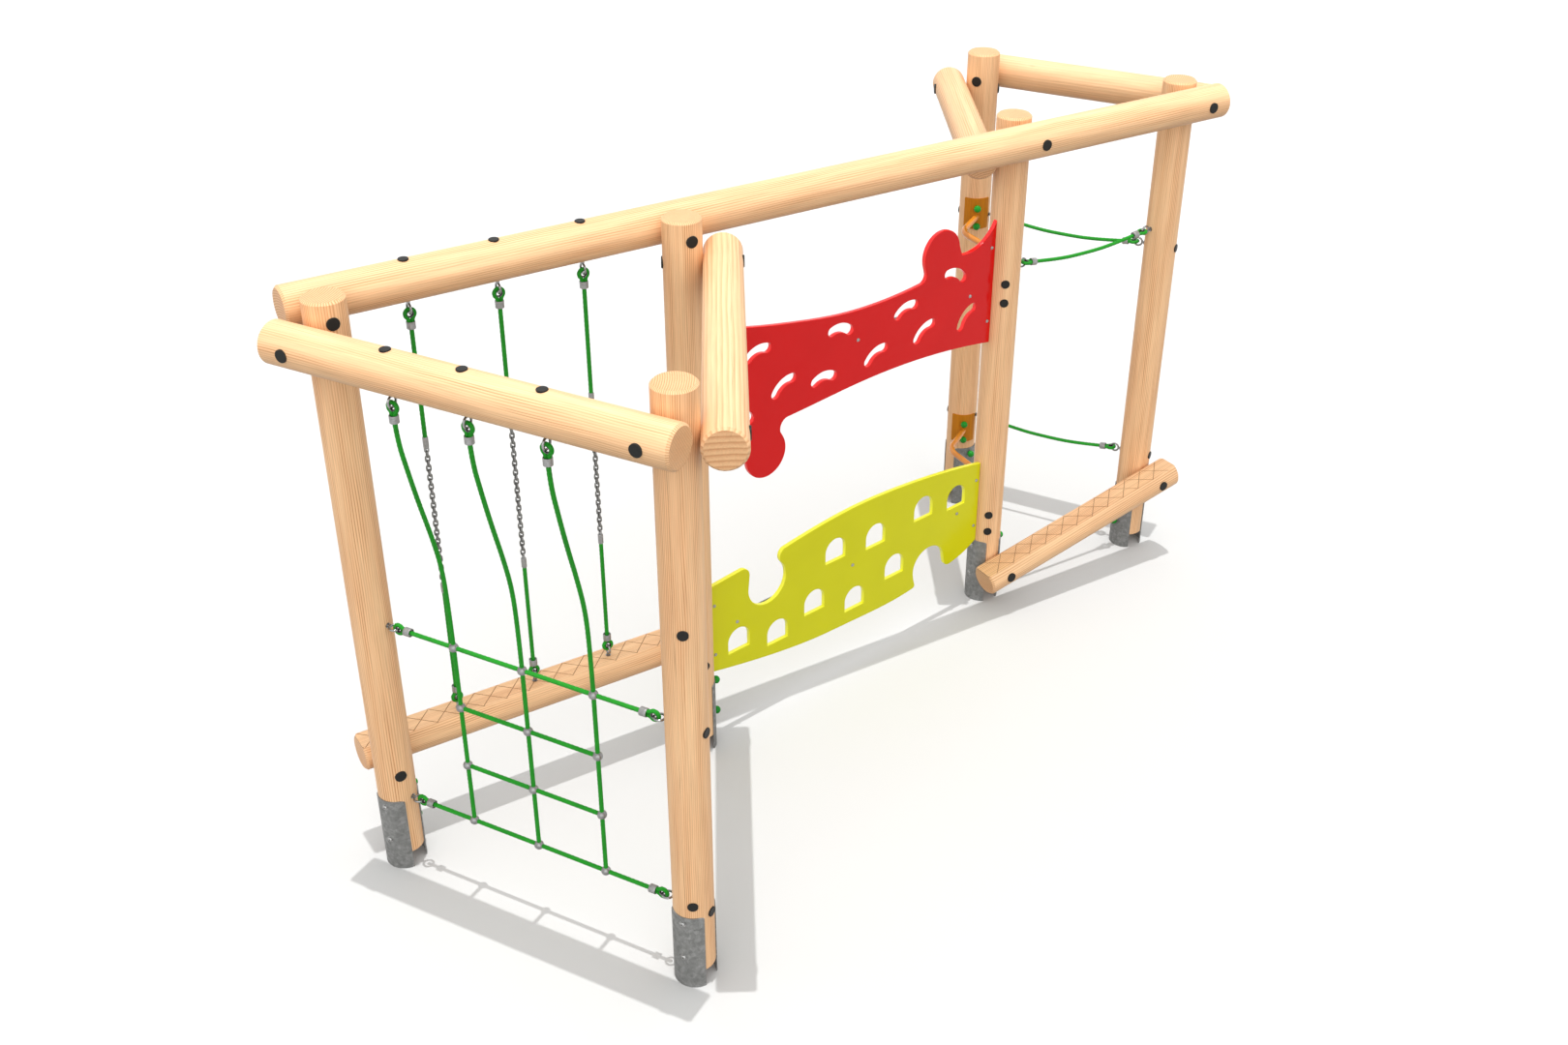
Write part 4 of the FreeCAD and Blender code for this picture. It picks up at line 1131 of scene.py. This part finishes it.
def inward(loop, amount, sign):
    """A counter-clockwise loop moved to its left by an amount, or to its right if sign is -1."""
    moved = []
    count = len(loop)
    for i, p in enumerate(loop):
        before = p - loop[i - 1]
        after = loop[(i + 1) % count] - p
        n1 = Vector((-before.y, before.x)).normalized() * sign
        n2 = Vector((-after.y, after.x)).normalized() * sign
        mid = n1 + n2
        if mid.length < 1e-6:
            moved.append(p + n1 * amount)
            continue
        mid.normalize()
        moved.append(p + mid * (amount / max(0.35, mid.dot(n1))))
    return moved


def simplified(loop, least):
    """Drops points closer together than a least distance."""
    kept = [loop[0]]
    for p in loop[1:]:
        if (p - kept[-1]).length >= least:
            kept.append(p)
    if (kept[-1] - kept[0]).length < least:
        kept.pop()
    return kept


def edge_rows():
    """(inset, distance behind the front face) of the rows of points across a sheet's rounded edge."""
    rows = []
    for i in range(EDGE_STEPS):
        a = math.pi / 2 * i / (EDGE_STEPS - 1)
        rows.append((EDGE_ROUND * (1 - math.sin(a)), EDGE_ROUND * (1 - math.cos(a))))
    return rows + [(inset, PANEL_THICK - back) for inset, back in rows[::-1]]


def make_sheet(name, node, material, slot):
    """Sheet plastic panel with every edge rounded, in place of the CAD panel."""
    loops, depth = outline_loops(node)
    loops = [simplified(loop, LEAST_STEP) for loop in loops]
    outer = max(loops, key=lambda loop: abs(area_of(loop)))
    loops = [loop for loop in loops
             if loop is outer or max(p.x for p in loop) - min(p.x for p in loop) > LEAST_HOLE]
    rows = edge_rows()
    build = Build()

    def stand(p, back):
        return POST["c"] + PANEL_LINE * p.x + UP * p.y + PANEL_FRONT * (depth - back)

    outlines = []
    for loop in loops:
        ring = loop if area_of(loop) > 0 else loop[::-1]
        facing = 1 if loop is outer else -1
        lines = [inward(ring, inset, facing) for inset, _ in rows]
        verts = [stand(p, back) for line, (_, back) in zip(lines, rows) for p in line]
        n = len(ring)
        faces = []
        for r in range(len(rows) - 1):
            for i in range(n):
                j = (i + 1) % n
                faces.append((r * n + i, (r + 1) * n + i, (r + 1) * n + j, r * n + j))
        build.add(verts, faces)
        outlines.append((lines[0], lines[-1]))
    for which, back in ((0, 0.0), (1, PANEL_THICK)):
        flat = [[Vector((p.x, p.y, 0)) for p in pair[which]] for pair in outlines]
        build.add([stand(p, back) for loop in flat for p in loop], tessellate_polygon(flat))
    sheet = build.make(name, material, slot=slot)
    bm = bmesh.new()
    bm.from_mesh(sheet.data)
    bmesh.ops.remove_doubles(bm, verts=bm.verts, dist=SAME_POINT)
    bmesh.ops.recalc_face_normals(bm, faces=bm.faces)
    for face in bm.faces:
        face.smooth = abs(face.normal.dot(PANEL_FRONT)) < 0.999
    mark_sharp(bm, SHEET_CREASE)
    bm.to_mesh(sheet.data)
    bm.free()
    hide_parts(node)


# ---- the scene -----------------------------------------------------

make_camera()
make_light()
make_floor()
paint_logs()
paint(GALVANISED, "panel_upper_rail", "panel_lower_rail", *("shoe_" + letter for letter in POST))
paint(ZINC, "beam_bolts", "net_eyes", "line_eyes", "rope_eyes")
paint(BLACK, "beam_caps", "fitting_caps")
paint(ORANGE, "bar_upper", "bar_lower")
paint(GREEN_NUT, "ball_nuts")
paint(ALUMINIUM, "chain_terminals")
make_net_drops()
make_hanging_ropes()
rope_ends("rope_end_metal", "rope_loops", "fixed", "frame")
make_straight_ropes("net_row_ropes", "net_rows", INTO_BALL)
make_straight_ropes("net_column_ropes", "net_columns", INTO_BALL)
make_straight_ropes("line_rope_runs", "line_ropes", INTO_SLEEVE)
make_chains()
make_balls()
make_bolts("shoe_bolt_heads", "shoe_bolts", SHOE_BOLT)
make_bolts("panel_screw_heads", "panel_screws", PANEL_SCREW)
make_sheet("red_panel_sheet", "panel_upper", RED, "red_panel")
make_sheet("lime_panel_sheet", "panel_lower", LIME, "lime_panel")
